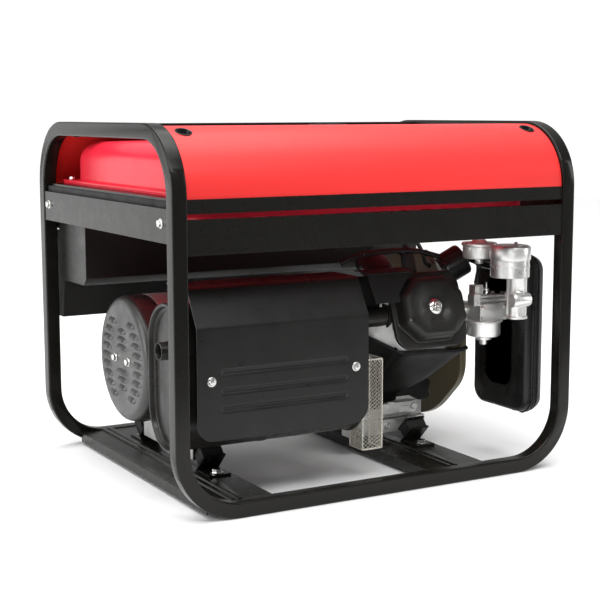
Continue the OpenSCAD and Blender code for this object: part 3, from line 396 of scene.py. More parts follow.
FRAME = surface("powder_coat_black", (0.0070, 0.0066, 0.0052), 0.24, specular=0.24, tone=0.05, grain=0.03,
    spread=0.03, grain_scale=420, edge_sheen_and_wear=(0.05, 0.05, 0.047), sheen_width=0.8, sheen_amount=0.2)
SHEET = surface("sheet_black", (0.0080, 0.0076, 0.0062), 0.28, specular=0.26, tone=0.05, grain=0.035,
    grain_scale=500, spread=0.03, edge_sheen_and_wear=(0.06, 0.06, 0.056), sheen_width=0.7, sheen_amount=0.2)
RED = surface("red_enamel", (0.82, 0.036, 0.034), 0.40, coat=0.04, coat_rough=0.16, specular=0.30, tone=0.03,
    tone_scale=3.0, grain=0.03, grain_scale=260, spread=0.03)
TANK = surface("tank_enamel", (0.82, 0.022, 0.048), 0.32, coat=0.06, coat_rough=0.10, specular=0.35, tone=0.03,
    tone_scale=3.0, grain=0.02, grain_scale=200, spread=0.03)
ZINC = surface("bright_zinc", (0.66, 0.66, 0.64), 0.26, metal=1.0, tone=0.16, tone_scale=60, spread=0.12,
    grain=0.2, grain_scale=900)
CAST = surface("cast_aluminium", (0.56, 0.56, 0.545), 0.46, metal=0.8, tone=0.09, tone_scale=40, spread=0.14,
    grain=0.35, grain_scale=900, pits=0.12, edge_sheen_and_wear=(0.75, 0.75, 0.73), sheen_amount=0.6)
SATIN = surface("satin_aluminium", (0.74, 0.74, 0.725), 0.34, metal=0.85, tone=0.10, tone_scale=30, spread=0.10,
    grain=0.16, grain_scale=1100, edge_sheen_and_wear=(0.85, 0.85, 0.84), sheen_width=0.8, sheen_amount=0.7)
# Near-white, barely metallic colour for the cylinder head and the barrel air guide: a painted reflection of the
# bright floor, in place of bright metal.
REFLECTION_WHITE = surface("painted_reflection_white", (0.90, 0.90, 0.89), 0.26, metal=0.15, tone=0.06, tone_scale=18, spread=0.08,
    grain=0.06, grain_scale=800)
DARK = surface("dark_casting", (0.010, 0.010, 0.009), 0.32, specular=0.35, tone=0.2, grain=0.28,
    grain_scale=800, pits=0.03, edge_sheen_and_wear=(0.11, 0.11, 0.105), sheen_width=1.0, sheen_amount=0.3)
COVER = surface("satin_cover", (0.0115, 0.011, 0.010), 0.36, specular=0.36, tone=0.14, grain=0.18,
    grain_scale=900, edge_sheen_and_wear=(0.15, 0.15, 0.14), sheen_width=1.0, sheen_amount=0.25)
END = surface("end_cover_paint", (0.022, 0.021, 0.020), 0.36, specular=0.66, tone=0.10, grain=0.12,
    grain_scale=900, edge_sheen_and_wear=(0.16, 0.16, 0.15), sheen_width=1.0, sheen_amount=0.3)
PLASTIC = surface("moulded_black", (0.006, 0.006, 0.0058), 0.32, tone=0.18, grain=0.16, grain_scale=1000,
    spread=0.08, specular=0.35, edge_sheen_and_wear=(0.05, 0.05, 0.05), sheen_amount=0.3)
GREY = surface("moulded_grey", (0.055, 0.060, 0.066), 0.34, coat=0.15, tone=0.12, grain=0.20, grain_scale=900)
RUBBER = surface("moulded_rubber", (0.012, 0.012, 0.012), 0.62, tone=0.22, tone_scale=30, grain=0.45,
    grain_scale=600, spread=0.12, specular=0.3)
# Blacker than the other black paints, so that the barrel tray and the black plates by the crankcase stay dark
# where the kicker lamp reaches: painted shade.
SHADE = surface("painted_shade_black", (0.0032, 0.0031, 0.0028), 0.40, specular=0.14, tone=0.12, grain=0.10,
    spread=0.05)
EXHAUST = surface("exhaust_paint", (0.012, 0.011, 0.010), 0.34, tone=0.25, tone_scale=12, grain=0.25,
    grain_scale=700, spread=0.12, specular=0.32, edge_sheen_and_wear=(0.07, 0.06, 0.05), sheen_amount=0.3)
SHIELD = surface("shield_paint", (0.0085, 0.0082, 0.0078), 0.34, tone=0.14, tone_scale=6, grain=0.20,
    grain_scale=800, spread=0.08, specular=0.28, edge_sheen_and_wear=(0.05, 0.05, 0.047), sheen_width=0.8, sheen_amount=0.25)
MESH = surface("plated_mesh", (0.58, 0.56, 0.50), 0.34, metal=0.5, tone=0.12, tone_scale=30, spread=0.1,
    grain=0.2, grain_scale=900)
# Golden-brown metal for the plate inside the left end of the muffler guard: a painted reflection of warm light.
WARM_REFLECTION_TINT = surface("painted_warm_reflection", (0.40, 0.30, 0.14), 0.34, metal=0.9, tone=0.30, tone_scale=22, spread=0.14,
    grain=0.2, grain_scale=900)
STEEL = surface("ground_steel", (0.46, 0.47, 0.48), 0.30, metal=1.0, tone=0.14, tone_scale=40, spread=0.12,
    grain=0.25, grain_scale=900, stretch=(0.15, 1, 1))
IRON = surface("grey_iron", (0.20, 0.20, 0.21), 0.48, metal=0.8, tone=0.25, tone_scale=30, grain=0.45,
    grain_scale=700, pits=0.15)
COPPER = surface("varnished_copper", (0.55, 0.24, 0.09), 0.36, metal=0.8, tone=0.25, tone_scale=50, grain=0.2,
    bands=("X", 1.6, 0.5))
LAMINATE = surface("laminated_core", (0.11, 0.11, 0.12), 0.45, metal=0.6, tone=0.2, tone_scale=30,
    bands=("X", 1.5, 0.5))
BRASS = surface("bright_brass", (0.70, 0.52, 0.20), 0.28, metal=1.0, tone=0.14, tone_scale=60, grain=0.15)
FOAM = surface("oiled_foam", (0.06, 0.05, 0.03), 0.85, tone=0.35, tone_scale=180, grain=0.9, grain_scale=420,
    pits=0.5, specular=0.2)
LEVER = surface("red_plastic", (0.55, 0.02, 0.015), 0.34, coat=0.2, tone=0.10, grain=0.15)
OLIVE = surface("blower_paint", (0.085, 0.070, 0.038), 0.36, coat=0.25, coat_rough=0.2, tone=0.14, grain=0.12,
    grain_scale=500, edge_sheen_and_wear=(0.14, 0.12, 0.09), sheen_amount=0.3)
DULL = surface("dull_zinc", (0.34, 0.33, 0.31), 0.34, metal=1.0, tone=0.16, tone_scale=60, spread=0.10,
    grain=0.2, grain_scale=900)
ROPE = surface("starter_rope", (0.42, 0.40, 0.36), 0.80, tone=0.25, tone_scale=200, grain=0.8, grain_scale=900,
    specular=0.2)
DIAL = surface("dial_white", (0.80, 0.80, 0.77), 0.45, tone=0.04, grain=0.05)
GLASS = clear("gauge_glass")

# ---------------------------------------------------------------- frame and sheet metal

def build_frame():
    for node in ("frame_hoop_left", "frame_hoop_right", "bottom_rail_near", "bottom_rail_far", "top_bar"):
        from_cad(node, FRAME, bevel=0, sharp=40)
    for node, width in (("crossmembers", 0.8), ("end_panels", 0.5), ("side_panels", 0.5), ("tank_rails", 0.4)):
        from_cad(node, SHEET, bevel=width)
    weld = Shape()
    left, right = box("crossmembers")
    for x0, x1 in ((left.x, left.x + 105), (right.x - 105, right.x)):
        for side in (-1, 1):
            y = side * 245.6
            for k in range(14):
                x = x0 + 6 + (x1 - x0 - 12) * k / 13
                weld.lathe([(0, -1.3), (1.5, -0.9), (2.1, 0.2), (1.6, 1.2), (0, 1.6)], (x, y, 19.2),
                    (0.25, -side, 0.9), 10)
    weld.piece("weld_beads", FRAME, slot="frame_paint")
    # Dark rubber-black strips in the gap between each end panel top and the tank rail: painted shade of the
    # shadowed lip there.
    shadow_strip = Shape()
    for end in (-1, 1):
        shadow_strip.soft_block((end * 331, 0, 434), (5, 486, 11), 1.2, 0.8, "x", 2)
    shadow_strip.piece("rail_shadow_strips", RUBBER, slot="panel_paint")


def build_covers():
    for node in ("side_cover_near", "side_cover_far"):
        from_cad(node, RED, bevel=0.35, sharp=30)
    cup = Shape()
    for x in (-294, 294):
        for side in (-1, 1):
            axis = Vector((0, side * 36.5, 88.2)).normalized()
            at = Vector((x, side * 204, 531.2))
            cup.lathe([(0, -9), (7.0, -9), (8.4, -7.6), (9.6, -1.2), (10.4, 0.5), (11.4, 0.9), (12.2, 0.6),
                (12.4, 0), (11.2, -0.6), (10.9, -10), (0, -10)], at, axis, 40)
            cup.lathe([(0, -9), (3.4, -9), (4.6, -8.2), (4.6, -5.6), (3.6, -4.6), (2.4, -4.4), (2.2, -6.4),
                (0, -6.4)], at, axis, 6)
    cup.piece("cover_plugs", PLASTIC, slot="black_plastic", sharp=35)


def build_bolts():
    b = Shape()
    for end in (-1, 1):
        for y in (-225, 225):
            b.hexagon((end * 338.5, y, 410), (end, 0, 0), 9.5, 3.8, washer=7.0, thick=1.0)
    for x in (-296, 296):
        for side in (-1, 1):
            b.hexagon((x, side * 229, 449), UP, 9.5, 3.6, washer=6.6, thick=0.9)
    for x in (-204, 166):
        for side in (-1, 1):
            b.hexagon((x, 30 + side * 140, 23), UP, 12.6, 5.0, washer=10.0, thick=1.4)
            b.hexagon((x, 30 + side * 97, 51), (0, side, 0), 9.0, 3.6, washer=0)
    for x in (-266, -31):
        b.lathe([(0, 0), (6.8, 0), (7.0, 0.5), (6.4, 1.0), (5.2, 1.1), (5.0, 1.8), (4.2, 3.2), (2.6, 4.0),
            (1.5, 4.1), (1.3, 3.3), (0, 3.2)], (x, -226, 187), (0, -1, 0), 36, 1)
    b.piece("bolt_heads", [ZINC, DULL], slot="zinc", replaces="frame_bolts", sharp=30)
    from_cad("mount_brackets", SHEET, bevel=0.5)
    from_cad("rubber_mounts", RUBBER, bevel=1.8, sharp=30)


# ---------------------------------------------------------------- fuel

def build_tank():
    t = Shape()
    half_x, half_y, flange = 312, 238, 443

    def plan(inset, z, corner=None):
        r = max(48 - inset * 0.35, 14) if corner is None else corner
        return [(x, y, z) for x, y in round_rect(2 * (half_x - inset), 2 * (half_y - inset), r, 10)]
    rings = [plan(i, flange + z, 12 - i) for i, z in ((0.6, 0), (0, 0.6), (0, 2.3), (0.9, 3.0), (0, 3.7),
        (0, 5.4), (0.6, 6.0))]
    rings += [plan(11.5, flange + 6.0), plan(13.4, flange + 6.8), plan(14.2, flange + 9)]
    top = flange + 70
    rings += [plan(14.5, top - 34)]
    rings += [plan(14.5 + 31 * (1 - math.cos(math.radians(a))), top - 33 + 31.5 * math.sin(math.radians(a)))
        for a in range(9, 91, 9)]
    rings += [plan(70, top - 0.9), plan(110, top - 0.35), plan(160, top)]
    t.loft(rings, caps=(False, True))
    low = [plan(0.6, flange, 12), plan(16, flange), plan(18.4, flange - 1.5), plan(18.6, flange - 26)]
    low += [plan(18.6 + 20 * (1 - math.cos(math.radians(a))), flange - 26 - 19.5 * math.sin(math.radians(a)))
        for a in range(15, 91, 15)]
    low += [plan(90, flange - 46)]
    t.loft(low, caps=(False, True))
    t.piece("fuel_tank_shell", TANK, slot="tank_paint", replaces="fuel_tank", sharp=50)

    crown, at = 513, (60, 10, 0)
    cap = Shape()
    low_z, high = crown + 2, crown + 25
    ring = []
    ribs = 18
    for z, r, bite in ((low_z, 34.0, 0.0), (low_z, 34.8, 0.4), (low_z + 1.5, 35.4, 0.8), (high - 7, 35.4, 0.8),
            (high - 4, 34.4, 0.4), (high - 2.6, 32.4, 0), (high - 0.4, 31.4, 0), (high, 30.4, 0), (high, 25, 0),
            (high - 1.4, 24, 0), (high - 1.4, 8, 0)):
        reach = [(a, r + bite * math.cos(ribs * a)) for a in turn(216)]
        ring.append([(at[0] + q * math.cos(a), at[1] + q * math.sin(a), z) for a, q in reach])
    cap.loft(ring)
    cap.soft_block((60, 10, high - 0.4), (44, 9, 2.6), 3, 1.0, "z", 3, both=False)
    cap.piece("fuel_cap_grip", PLASTIC, "fuel_cap", "black_plastic", "fuel_cap", sharp=38)
    neck = Shape()
    neck.lathe([(29, -12), (29.6, -12), (30, -11), (30, 0), (35, 0), (35.8, 0.6), (35.4, 1.5), (31, 2.2),
        (29.6, 4), (29.6, 9), (29, 10), (26.4, 10), (25.4, 9), (25.4, -11)], (60, 10, crown), UP, 64,
        closed=True)
    neck.lathe([(24.8, -10), (25.2, -10), (25.2, -34), (0, -34), (0, -33.4), (24.6, -33.4)], (60, 10, crown),
        UP, 48)
    neck.lathe([(29, 7.4), (15.8, 7.4), (15.2, 8), (15.2, 9.3), (15.8, 9.9), (29, 9.9)], (60, 10, crown), UP,
        64, closed=True)
    neck.piece("filler_neck_ring", ZINC, slot="zinc", replaces="filler_neck", sharp=35)

    g = Shape()
    c = (-120, 0, crown)
    g.lathe([(25, 0), (25, 3.6), (24.2, 5.0), (22.2, 5.8), (20.8, 5.4), (20.4, 3.0), (20.4, 1.4), (0, 1.4),
        (0, 0)], c, UP, 56, 0)
    g.piece("fuel_gauge_bezel", PLASTIC, slot="machined_aluminium", replaces="fuel_gauge", sharp=35)
    f = Shape()
    f.lathe([(0, 1.5), (20.2, 1.5), (20.2, 1.9), (0, 1.9)], c, UP, 48, 0)
    for k in range(9):
        a = math.radians(150 - 15 * k)
        end, thick = (17, 0.45) if k % 4 else (18, 0.8)
        f.tube([(c[0] + r * math.cos(a), r * math.sin(a), crown + 2.0) for r in (13, end)], thick, 6, 1)
    f.tube([(c[0] + 3, -2, crown + 2.5), (c[0] - 9, 9, crown + 2.5)], [0.9, 0.35], 8, 2)
    f.lathe([(0, 1.9), (2.6, 1.9), (2.4, 3.0), (0, 3.2)], (c[0] + 3, -2, crown), UP, 20, 1)
    f.piece("fuel_gauge_dial", [DIAL, PLASTIC, LEVER], slot="machined_aluminium")
    w = Shape()
    w.lathe([(0, 4.4), (20.3, 3.9), (20.3, 3.3), (0, 3.8)], c, UP, 48)
    w.piece("fuel_gauge_window", GLASS, slot="machined_aluminium")


def build_fuel_tap():
    x, y = 237, -162
    t = Shape()
    t.lathe([(0, 318), (3.2, 318), (6.2, 318.2), (6.8, 319), (5.6, 320.5), (6.6, 322), (6.6, 325), (12, 326.5),
        (23, 327), (25.2, 328.2), (26, 330.5), (26, 345.5), (25.2, 346.4), (27.4, 347.2), (28, 348.2),
        (28, 350.6), (27.2, 351.8), (25.5, 352), (15, 352.4), (13, 353.4), (11, 355), (9.2, 357), (9, 390),
        (10, 392), (13.6, 393), (14, 394), (14, 396.6), (0, 396.6)], (x, y, 0), UP, 56)
    t.lathe([(0, 0), (7, 0), (7, 9), (6.4, 10), (3.2, 10), (3.06, 2), (0, 2)], (x, y + 8, 376), NORTH, 32)
    t.soft_block((x, y, 376), (17, 17, 20), 4, 1.2, "z", 3)
    t.piece("fuel_tap_body", SATIN, slot="machined_aluminium", replaces="fuel_tap", sharp=32)
    v = Shape()
    v.lathe([(0, 0), (3, 0), (3, 6.6), (7.4, 6.8), (8, 7.6), (8, 11), (7, 12), (0, 12)], (x, y + 12, 376),
        NORTH, 32)
    v.loft([[(x - d, y + yy, 376 + w * s) for yy, s in ((19.2, -1), (23.2, -1), (23.2, 1), (19.2, 1))]
        for d, w in ((3, 4.0), (12, 3.4), (17, 3.8), (20.2, 4.0), (21, 3.2))])
    v.piece("fuel_tap_handle", LEVER, "fuel_tap_lever", "red_plastic", "fuel_tap_lever", bevel=0.5, sharp=35)
    h = Shape()
    line = smooth_line([(237, -162, 317.6), (236, -163, 308), (228, -170.4, 297), (225, -172, 287.2)], 8)
    h.tube(line, 3.9, 16)
    for p, q in ((line[2], line[3]), (line[-4], line[-3])):
        h.tube([p, q], 4.7, 16, 1)
    h.piece("fuel_line", [RUBBER, ZINC], slot="rubber_black", replaces="fuel_hose")


# ---------------------------------------------------------------- control panel

FACE_Y = 260
ITEM_Z = 318


def build_controls():
    from_cad("control_box", COVER, bevel=2.0)
    from_cad("control_face", SHEET, bevel=0.8)
    screws = Shape()
    for x in (-306, -180, 0, 180, 302):
        for z in (228, 358):
            screws.lathe([(0, 0), (4.2, 0), (4.4, 0.5), (3.4, 1.8), (1.6, 2.2), (1.4, 1.4), (0, 1.3)],
                (x, FACE_Y, z), NORTH, 24)
    screws.piece("panel_screws", ZINC, slot="zinc")

    from_cad("power_sockets", GREY, bevel=0.8)
    pins = Shape()
    for x in (-130, -30):
        for side in (-1, 1):
            pins.lathe([(0, 0), (2.9, 0), (3.1, 0.3), (3.1, 0.9), (2.2, 1.0), (2.2, 0.2), (0, 0.2)],
                (x + 9.5 * side, 248, ITEM_Z), NORTH, 20, 1)
            pins.soft_block((x, 251.4, ITEM_Z + 15.6 * side), (5, 5.4, 2.0), 0.6, 0.5, "z", 2, slot=0)
            pins.hexagon((x + 21.5 * side, FACE_Y, ITEM_Z - 24), NORTH, 4.5, 1.8, washer=3.4, thick=0.5, slot=0)
    pins.piece("socket_contacts", [ZINC, BRASS], slot="zinc")
    for x, name in ((-130, "socket_flap_left"), (-30, "socket_flap_right")):
        lid = Shape()
        lid.lathe([(0, 0), (23.2, 0), (24, 0.5), (24, 1.6), (23.2, 2.3), (21.4, 2.5), (20.8, 2.1), (19, 2.1),
            (18.4, 2.5), (7, 2.9), (6.4, 2.3), (0, 2.2)], (x, 263.4, ITEM_Z), NORTH, 56)
        lid.soft_block((x, 264.4, ITEM_Z - 24.5), (14, 1.9, 7), 2.5, 0.6, "y", 3)
        for k in range(3):
            lid.tube([(x - 5, 265.5, ITEM_Z - 23 - 1.9 * k), (x + 5, 265.5, ITEM_Z - 23 - 1.9 * k)], 0.5, 8)
        lid.tube([(x - 11, 264, 348), (x + 11, 264, 348)], 1.7, 16)
        lid.soft_block((x, 264.4, 344), (16, 1.9, 8), 1.5, 0.5, "y", 3)
        lid.piece(name + "_lid", GREY, name, "grey_plastic", name, sharp=35)

    from_cad("breaker_body", PLASTIC, bevel=0.9)
    from_cad("breaker_toggle", PLASTIC, "breaker_toggle", bevel=0.7)
    from_cad("key_switch", ZINC, bevel=0.5)
    from_cad("ignition_key", ZINC, "ignition_key", bevel=0.5)
    grip = Shape()
    lo, hi = box("ignition_key")
    grip.soft_block(((lo.x + hi.x) / 2, hi.y - 4, (lo.z + hi.z) / 2),
        (max(hi.x - lo.x, 4) * 0.9 + 1.6, 7.6, (hi.z - lo.z) * 0.86), 1.6, 1.2, "x", 3)
    grip.piece("ignition_key_grip", PLASTIC, "ignition_key", "black_plastic")

    m = Shape()
    mx = -230
    m.lathe([(30, 0), (30, 3.4), (29.2, 4.6), (27.4, 5.2), (26.0, 4.8), (25.6, 2.2), (25.6, 0.6), (0, 0.6),
        (0, 0)], (mx, FACE_Y, ITEM_Z), NORTH, 64)
    m.piece("voltmeter_bezel", PLASTIC, slot="black_plastic", replaces="voltmeter", sharp=35)
    d = Shape()
    d.lathe([(0, 0.8), (25.4, 0.8), (25.4, 1.2), (0, 1.2)], (mx, FACE_Y, ITEM_Z), NORTH, 56, 0)
    for k in range(13):
        a = math.radians(150 - 10 * k)
        long_ = k % 3 == 0
        r0 = 16.5 if long_ else 18.0
        c, s = math.cos(a), math.sin(a)
        d.tube([(mx + r0 * c, FACE_Y + 1.35, ITEM_Z - 6 + r0 * s),
            (mx + 21 * c, FACE_Y + 1.35, ITEM_Z - 6 + 21 * s)], 0.55 if long_ else 0.32, 6, 1)
    d.tube([(mx, FACE_Y + 2.0, ITEM_Z - 6), (mx + 11, FACE_Y + 2.0, ITEM_Z + 11)], [0.8, 0.3], 8, 2)
    d.lathe([(0, 1.2), (3.2, 1.2), (3, 2.4), (0, 2.6)], (mx, FACE_Y, ITEM_Z - 6), NORTH, 24, 1)
    d.piece("voltmeter_dial", [DIAL, PLASTIC, LEVER], slot="black_plastic")
    w = Shape()
    w.lathe([(0, 4.2), (25.5, 3.8), (25.5, 3.2), (0, 3.6)], (mx, FACE_Y, ITEM_Z), NORTH, 56)
    w.piece("voltmeter_window", GLASS, slot="black_plastic")
    from_cad("earth_terminal", BRASS, bevel=0.3)
    thread = Shape()
    for k in range(8):
        thread.lathe([(2.2, -0.4), (3.12, 0), (2.2, 0.4)], (250, 262.5 + 0.55 * k, 250), NORTH, 24, closed=True)
    thread.piece("earth_stud_thread", BRASS, slot="terminal_brass")


# ---------------------------------------------------------------- alternator

def louvre(s, face, y, z, width, height, rise):
    """Pressed hood that opens downwards, on a face square to x."""
    rows, cols = 7, 13
    grid = []
    for i in range(rows):
        v = i / (rows - 1)
        grid.append([(face + 0.3
            - rise * math.sin(math.pi / 2 * min(v * 1.1, 1)) ** 1.1 * (1 - abs(2 * j / (cols - 1) - 1) ** 3.2),
            y + width / 2 * (2 * j / (cols - 1) - 1) * (0.72 + 0.28 * math.sin(math.pi / 2 * v)),
            z + height / 2 - height * v) for j in range(cols)])
    flat = [(face + 0.6, p[1], p[2]) for p in grid[-1]]
    s.add([p for r in grid for p in r], [[i * cols + j, i * cols + j + 1, (i + 1) * cols + j + 1,
        (i + 1) * cols + j] for i in range(rows - 1) for j in range(cols - 1)], 0)
    # Slot 1 closes each hood's mouth with a dark face: painted shade in place of the dark opening under the
    # hood.
    s.add(grid[-1] + flat, [[j, j + 1, cols + j + 1, cols + j] for j in range(cols - 1)], 1)


def build_alternator():
    lo, hi = box("alternator_end_cover")
    face, r, edge = lo.x, 97.5, 14
    c = Shape()
    out = [(0, 0), (40, 0), (r - edge - 6, 0)] + [(r - edge + edge * math.sin(math.radians(a)),
        edge - edge * math.cos(math.radians(a))) for a in range(0, 91, 9)]
    depth = hi.x - lo.x
    out += [(r, depth - 4), (r - 0.4, depth - 0.2), (r - 2.5, depth - 0.2), (r - 2.5, edge + 4),
        (r - edge, 2.5), (0, 2.5)]
    c.lathe(out, (face, AXIS_Y, AXIS_Z), EAST, 96)
    pitch = 14.2
    for row in range(-4, 5):
        z = row * pitch
        outer = math.sqrt(81 ** 2 - (1.12 * z) ** 2)
        width = 29 + 9 * (1 - (row / 4) ** 2)
        for side in (-1, 1):
            louvre(c, face, AXIS_Y + side * (outer - width / 2), AXIS_Z + z, width, 9.4, 5.0)
    for z, width in ((19, 42), (31.3, 38), (43.8, 29)):
        for side in (-1, 1):
            louvre(c, face, AXIS_Y, AXIS_Z + side * z, width, 9.0, 5.0)
    c.piece("end_cover_shell", [END, RUBBER], slot="dark_casting", replaces="alternator_end_cover", sharp=42)
    b = Shape()
    for side in (-1, 1):
        b.hexagon((face, AXIS_Y + side * 26, AXIS_Z - 1), WEST, 9.4, 4.2, washer=6.6, thick=1.0)
    b.piece("end_cover_bolts", ZINC, slot="zinc")
    from_cad("alternator_housing", CAST, bevel=0.8)
    core = Shape()
    for k in range(30):
        x = -186 + 4.8 * k
        core.lathe([(97.4, 0), (98.2, 0.5), (98.2, 2.6), (97.4, 3.1)], (x, AXIS_Y, AXIS_Z), EAST, 64,
            closed=True)
    core.piece("laminated_band", LAMINATE, slot="cast_aluminium")
    from_cad("stator", COPPER, bevel=2.5)
    from_cad("rotor", STEEL, "crank", bevel=0.5)
    from_cad("rear_bearing", STEEL, bevel=0.6)


# ---------------------------------------------------------------- exhaust

SILENCER_Y, SILENCER_Z = -144, 181


def oval(grow, x):
    """Outline of the silencer, grown outwards, at a place along the shaft."""
    r = 64 + grow
    pts = [(SILENCER_Y + r * math.cos(math.radians(a)), SILENCER_Z + 45 + r * math.sin(math.radians(a)))
        for a in range(0, 181, 6)]
    pts += [(SILENCER_Y + r * math.cos(math.radians(a)), SILENCER_Z - 45 + r * math.sin(math.radians(a)))
        for a in range(180, 361, 6)]
    return [(x, y, z) for y, z in pts]


def build_exhaust():
    m = Shape()
    end = [(9.0, -60), (8.6, -34), (8.4, -16), (9.2, -11), (8.4, -7.4), (6.6, -6.2), (1.6, -6.0), (0.5, -5.0),
        (0, -3.6), (0.5, -1.6), (1.6, -0.4), (3.0, 0.0), (4.6, -0.5), (5.4, -2.0), (5.6, -3.0), (7.2, -3.3),
        (8.6, -2.6), (10.0, -3.2)]
    profile = [(-300 + t, g) for t, g in end]
    profile += [(-160, -3.1), (-158.5, -2.2), (-152.5, -2.2), (-151, -3.1)]
    profile += [(0 - t, g) for t, g in reversed(end)]
    m.loft([oval(g, x) for x, g in profile])
    m.lathe([(11, 2), (13.4, 2), (13.6, 8), (13, 9), (13, 20.6), (12.4, 21.6), (11.5, 21.6), (11, 20.8),
        (11, 6)], (-290, -147, 222), WEST, 40, closed=True)
    m.lathe([(13, 0), (17.5, -1.2), (17.9, 0.4), (16.2, 1.8), (13.2, 3.0)], (-290.6, -147, 222), WEST, 40,
        closed=True)
    for x in (-266, -31):
        m.lathe([(0, 0), (7, 0), (7, 17), (0, 17)], (x, -224.2, 187), NORTH, 28)
    py, pz = AXIS_Y - 0.9397 * 173, AXIS_Z + 0.342 * 173
    m.lathe([(13, -2), (15, -2), (15.4, 0), (15, 2), (15, 73), (15.6, 74), (20.2, 74.4), (20.5, 75),
        (20.5, 80.6), (20, 81.2), (13, 81.4)], (0, py, pz), EAST, 40, closed=True)
    m.piece("silencer_shell", EXHAUST, slot="exhaust_black", replaces="muffler", sharp=45)

    lo, hi = box("heat_shield")
    fold = filleted([(-226, lo.z), (-226, 262), (-195, 316), (-125, 316)], [0, 9, 9, 0], 6, closed=False)
    line = []
    for (a, b) in zip(fold, fold[1:]):
        a, b = Vector(a), Vector(b)
        steps = max(1, int((b - a).length / 1.6))
        line += [a.lerp(b, k / steps) for k in range(steps)]
    line.append(Vector(fold[-1]))
    ribs = [(198.4, -250.5, -44.5), (171.5, -250.5, -44.5), (146.0, -250.5, -44.5)]

    def pressed(x, z):
        deep = 0
        for rz, ra, rb in ribs:
            dx = max(ra + 4 - x, 0, x - (rb - 4))
            d = math.hypot(dx, z - rz)
            deep = max(deep, 2.6 * max(0.0, 1 - (d / 4.4) ** 2) ** 1.3)
        return deep
    cols = 170
    front, back = [], []
    for i, p in enumerate(line):
        a, b = line[max(i - 1, 0)], line[min(i + 1, len(line) - 1)]
        along = (b - a).normalized()
        inward = Vector((along.y, -along.x))
        rise = p.y - lo.z
        inset = 25 - math.sqrt(25 ** 2 - max(25 - rise, 0) ** 2)
        f_row, b_row = [], []
        for j in range(cols + 1):
            x = lo.x + inset + (hi.x - lo.x - 2 * inset) * j / cols
            d = pressed(x, p.y) if p.y < 230 and p.x < -200 else 0
            q = p + inward * d
            w = p + inward * (d + 1.5)
            f_row.append((x, q.x, q.y))
            b_row.append((x, w.x, w.y))
        front.append(f_row)
        back.append(b_row)
    s = Shape()
    s.sheet(front, back)
    s.piece("heat_shield_plate", SHIELD, slot="exhaust_black", replaces="heat_shield", sharp=48)

    h = Shape()
    stations = [26.5, 28.5, 31, 34, 40, 46, 52, 60, 70, 77, 78, 82, 87, 93, 98, 103, 109]

    def lower_edge(x):
        steps = [(26, 316), (34, 269.5), (77, 269.5), (78, 281), (93, 298), (109, 310)]
        for (xa, za), (xb, zb) in zip(steps, steps[1:]):
            if x <= xb:
                return za + (zb - za) * (x - xa) / (xb - xa)
        return 310
    front, back = [], []
    for x in stations:
        low = min(lower_edge(x), 313.5)
        row = [(-178 + (z - 270) * 18 / 46, z) for z in [low + (311.5 - low) * k / 10 for k in range(11)]]
        row += [(y + 1.4, z) for y, z in arc(-160 + 0.5, 316 - 5, 5, 160, 90, 6)]
        row += [(-154 + (28 * k / 4), 316) for k in range(1, 5)]
        front.append([(x, y, z) for y, z in row])
        inner = []
        for i, (y, z) in enumerate(row):
            a, b = Vector(row[max(i - 1, 0)]), Vector(row[min(i + 1, len(row) - 1)])
            t = (b - a).normalized()
            inner.append((x, y + 1.4 * t.y, z - 1.4 * t.x))
        back.append(inner)
    h.sheet(front, back)
    h.piece("head_shield_plate", SHIELD, slot="exhaust_black", replaces="head_shield", sharp=45)

    g = Shape()
    lo, hi = box("muffler_guard")
    pitch, step, wire = 4.0, 2.9, 0.62

    up = Vector(UP)

    def mesh_face(origin, across, length):
        count = int(length / pitch)
        gap = length / count
        rows = int((hi.z - lo.z - 3) / step)
        for k in range(count + 1):
            path = []
            for i in range(rows + 1):
                swing = (gap / 2) * (1 if (i + k) % 2 else -1)
                u = min(max(k * gap + swing, 0), length)
                path.append(origin + across * u + up * (1.5 + (hi.z - lo.z - 3) * i / rows))
            g.tube(path, wire, 4, 0)
    mesh_face(Vector((lo.x, lo.y + 0.6, lo.z)), Vector(EAST), hi.x - lo.x)
    for x in (lo.x + 0.6, hi.x - 0.6):
        mesh_face(Vector((x, lo.y, lo.z)), Vector(NORTH), hi.y - lo.y)
    loop = [(lo.x + 0.8, hi.y), (lo.x + 0.8, lo.y + 0.8), (hi.x - 0.8, lo.y + 0.8), (hi.x - 0.8, hi.y)]
    for z in (lo.z + 0.9, hi.z - 0.9):
        g.tube([(x, y, z) for x, y in filleted(loop, 3, 5, closed=False)], 1.15, 10)
    for x in (lo.x + 0.8, hi.x - 0.8):
        g.tube([(x, hi.y - 0.6, lo.z + 0.9), (x, hi.y - 0.6, hi.z - 0.9)], 1.15, 10)
        g.tube([(x, lo.y + 0.9, lo.z + 0.9), (x, lo.y + 0.9, hi.z - 0.9)], 0.9, 10)
    # Golden-brown plate inside the guard's left end: a painted reflection of warm light.
    g.soft_block((lo.x + 1.6, (lo.y + hi.y) / 2 + 1, lo.z + 17), (0.8, hi.y - lo.y - 4, 30), 2, 0.3, "x", 2,
        slot=1)
    g.piece("guard_mesh", [MESH, WARM_REFLECTION_TINT], slot="guard_steel", replaces="muffler_guard", sharp=60)


# ---------------------------------------------------------------- engine

LEAN = math.radians(20)
ENGINE_X = 141


def on_cylinder(x, v, s):
    """Point on the leaning cylinder: x along the shaft, v across it, s out from the crank axis."""
    return (ENGINE_X + x, AXIS_Y - math.cos(LEAN) * s + math.sin(LEAN) * v,
        AXIS_Z + math.sin(LEAN) * s + math.cos(LEAN) * v)


OUT = (0, -math.cos(LEAN), math.sin(LEAN))


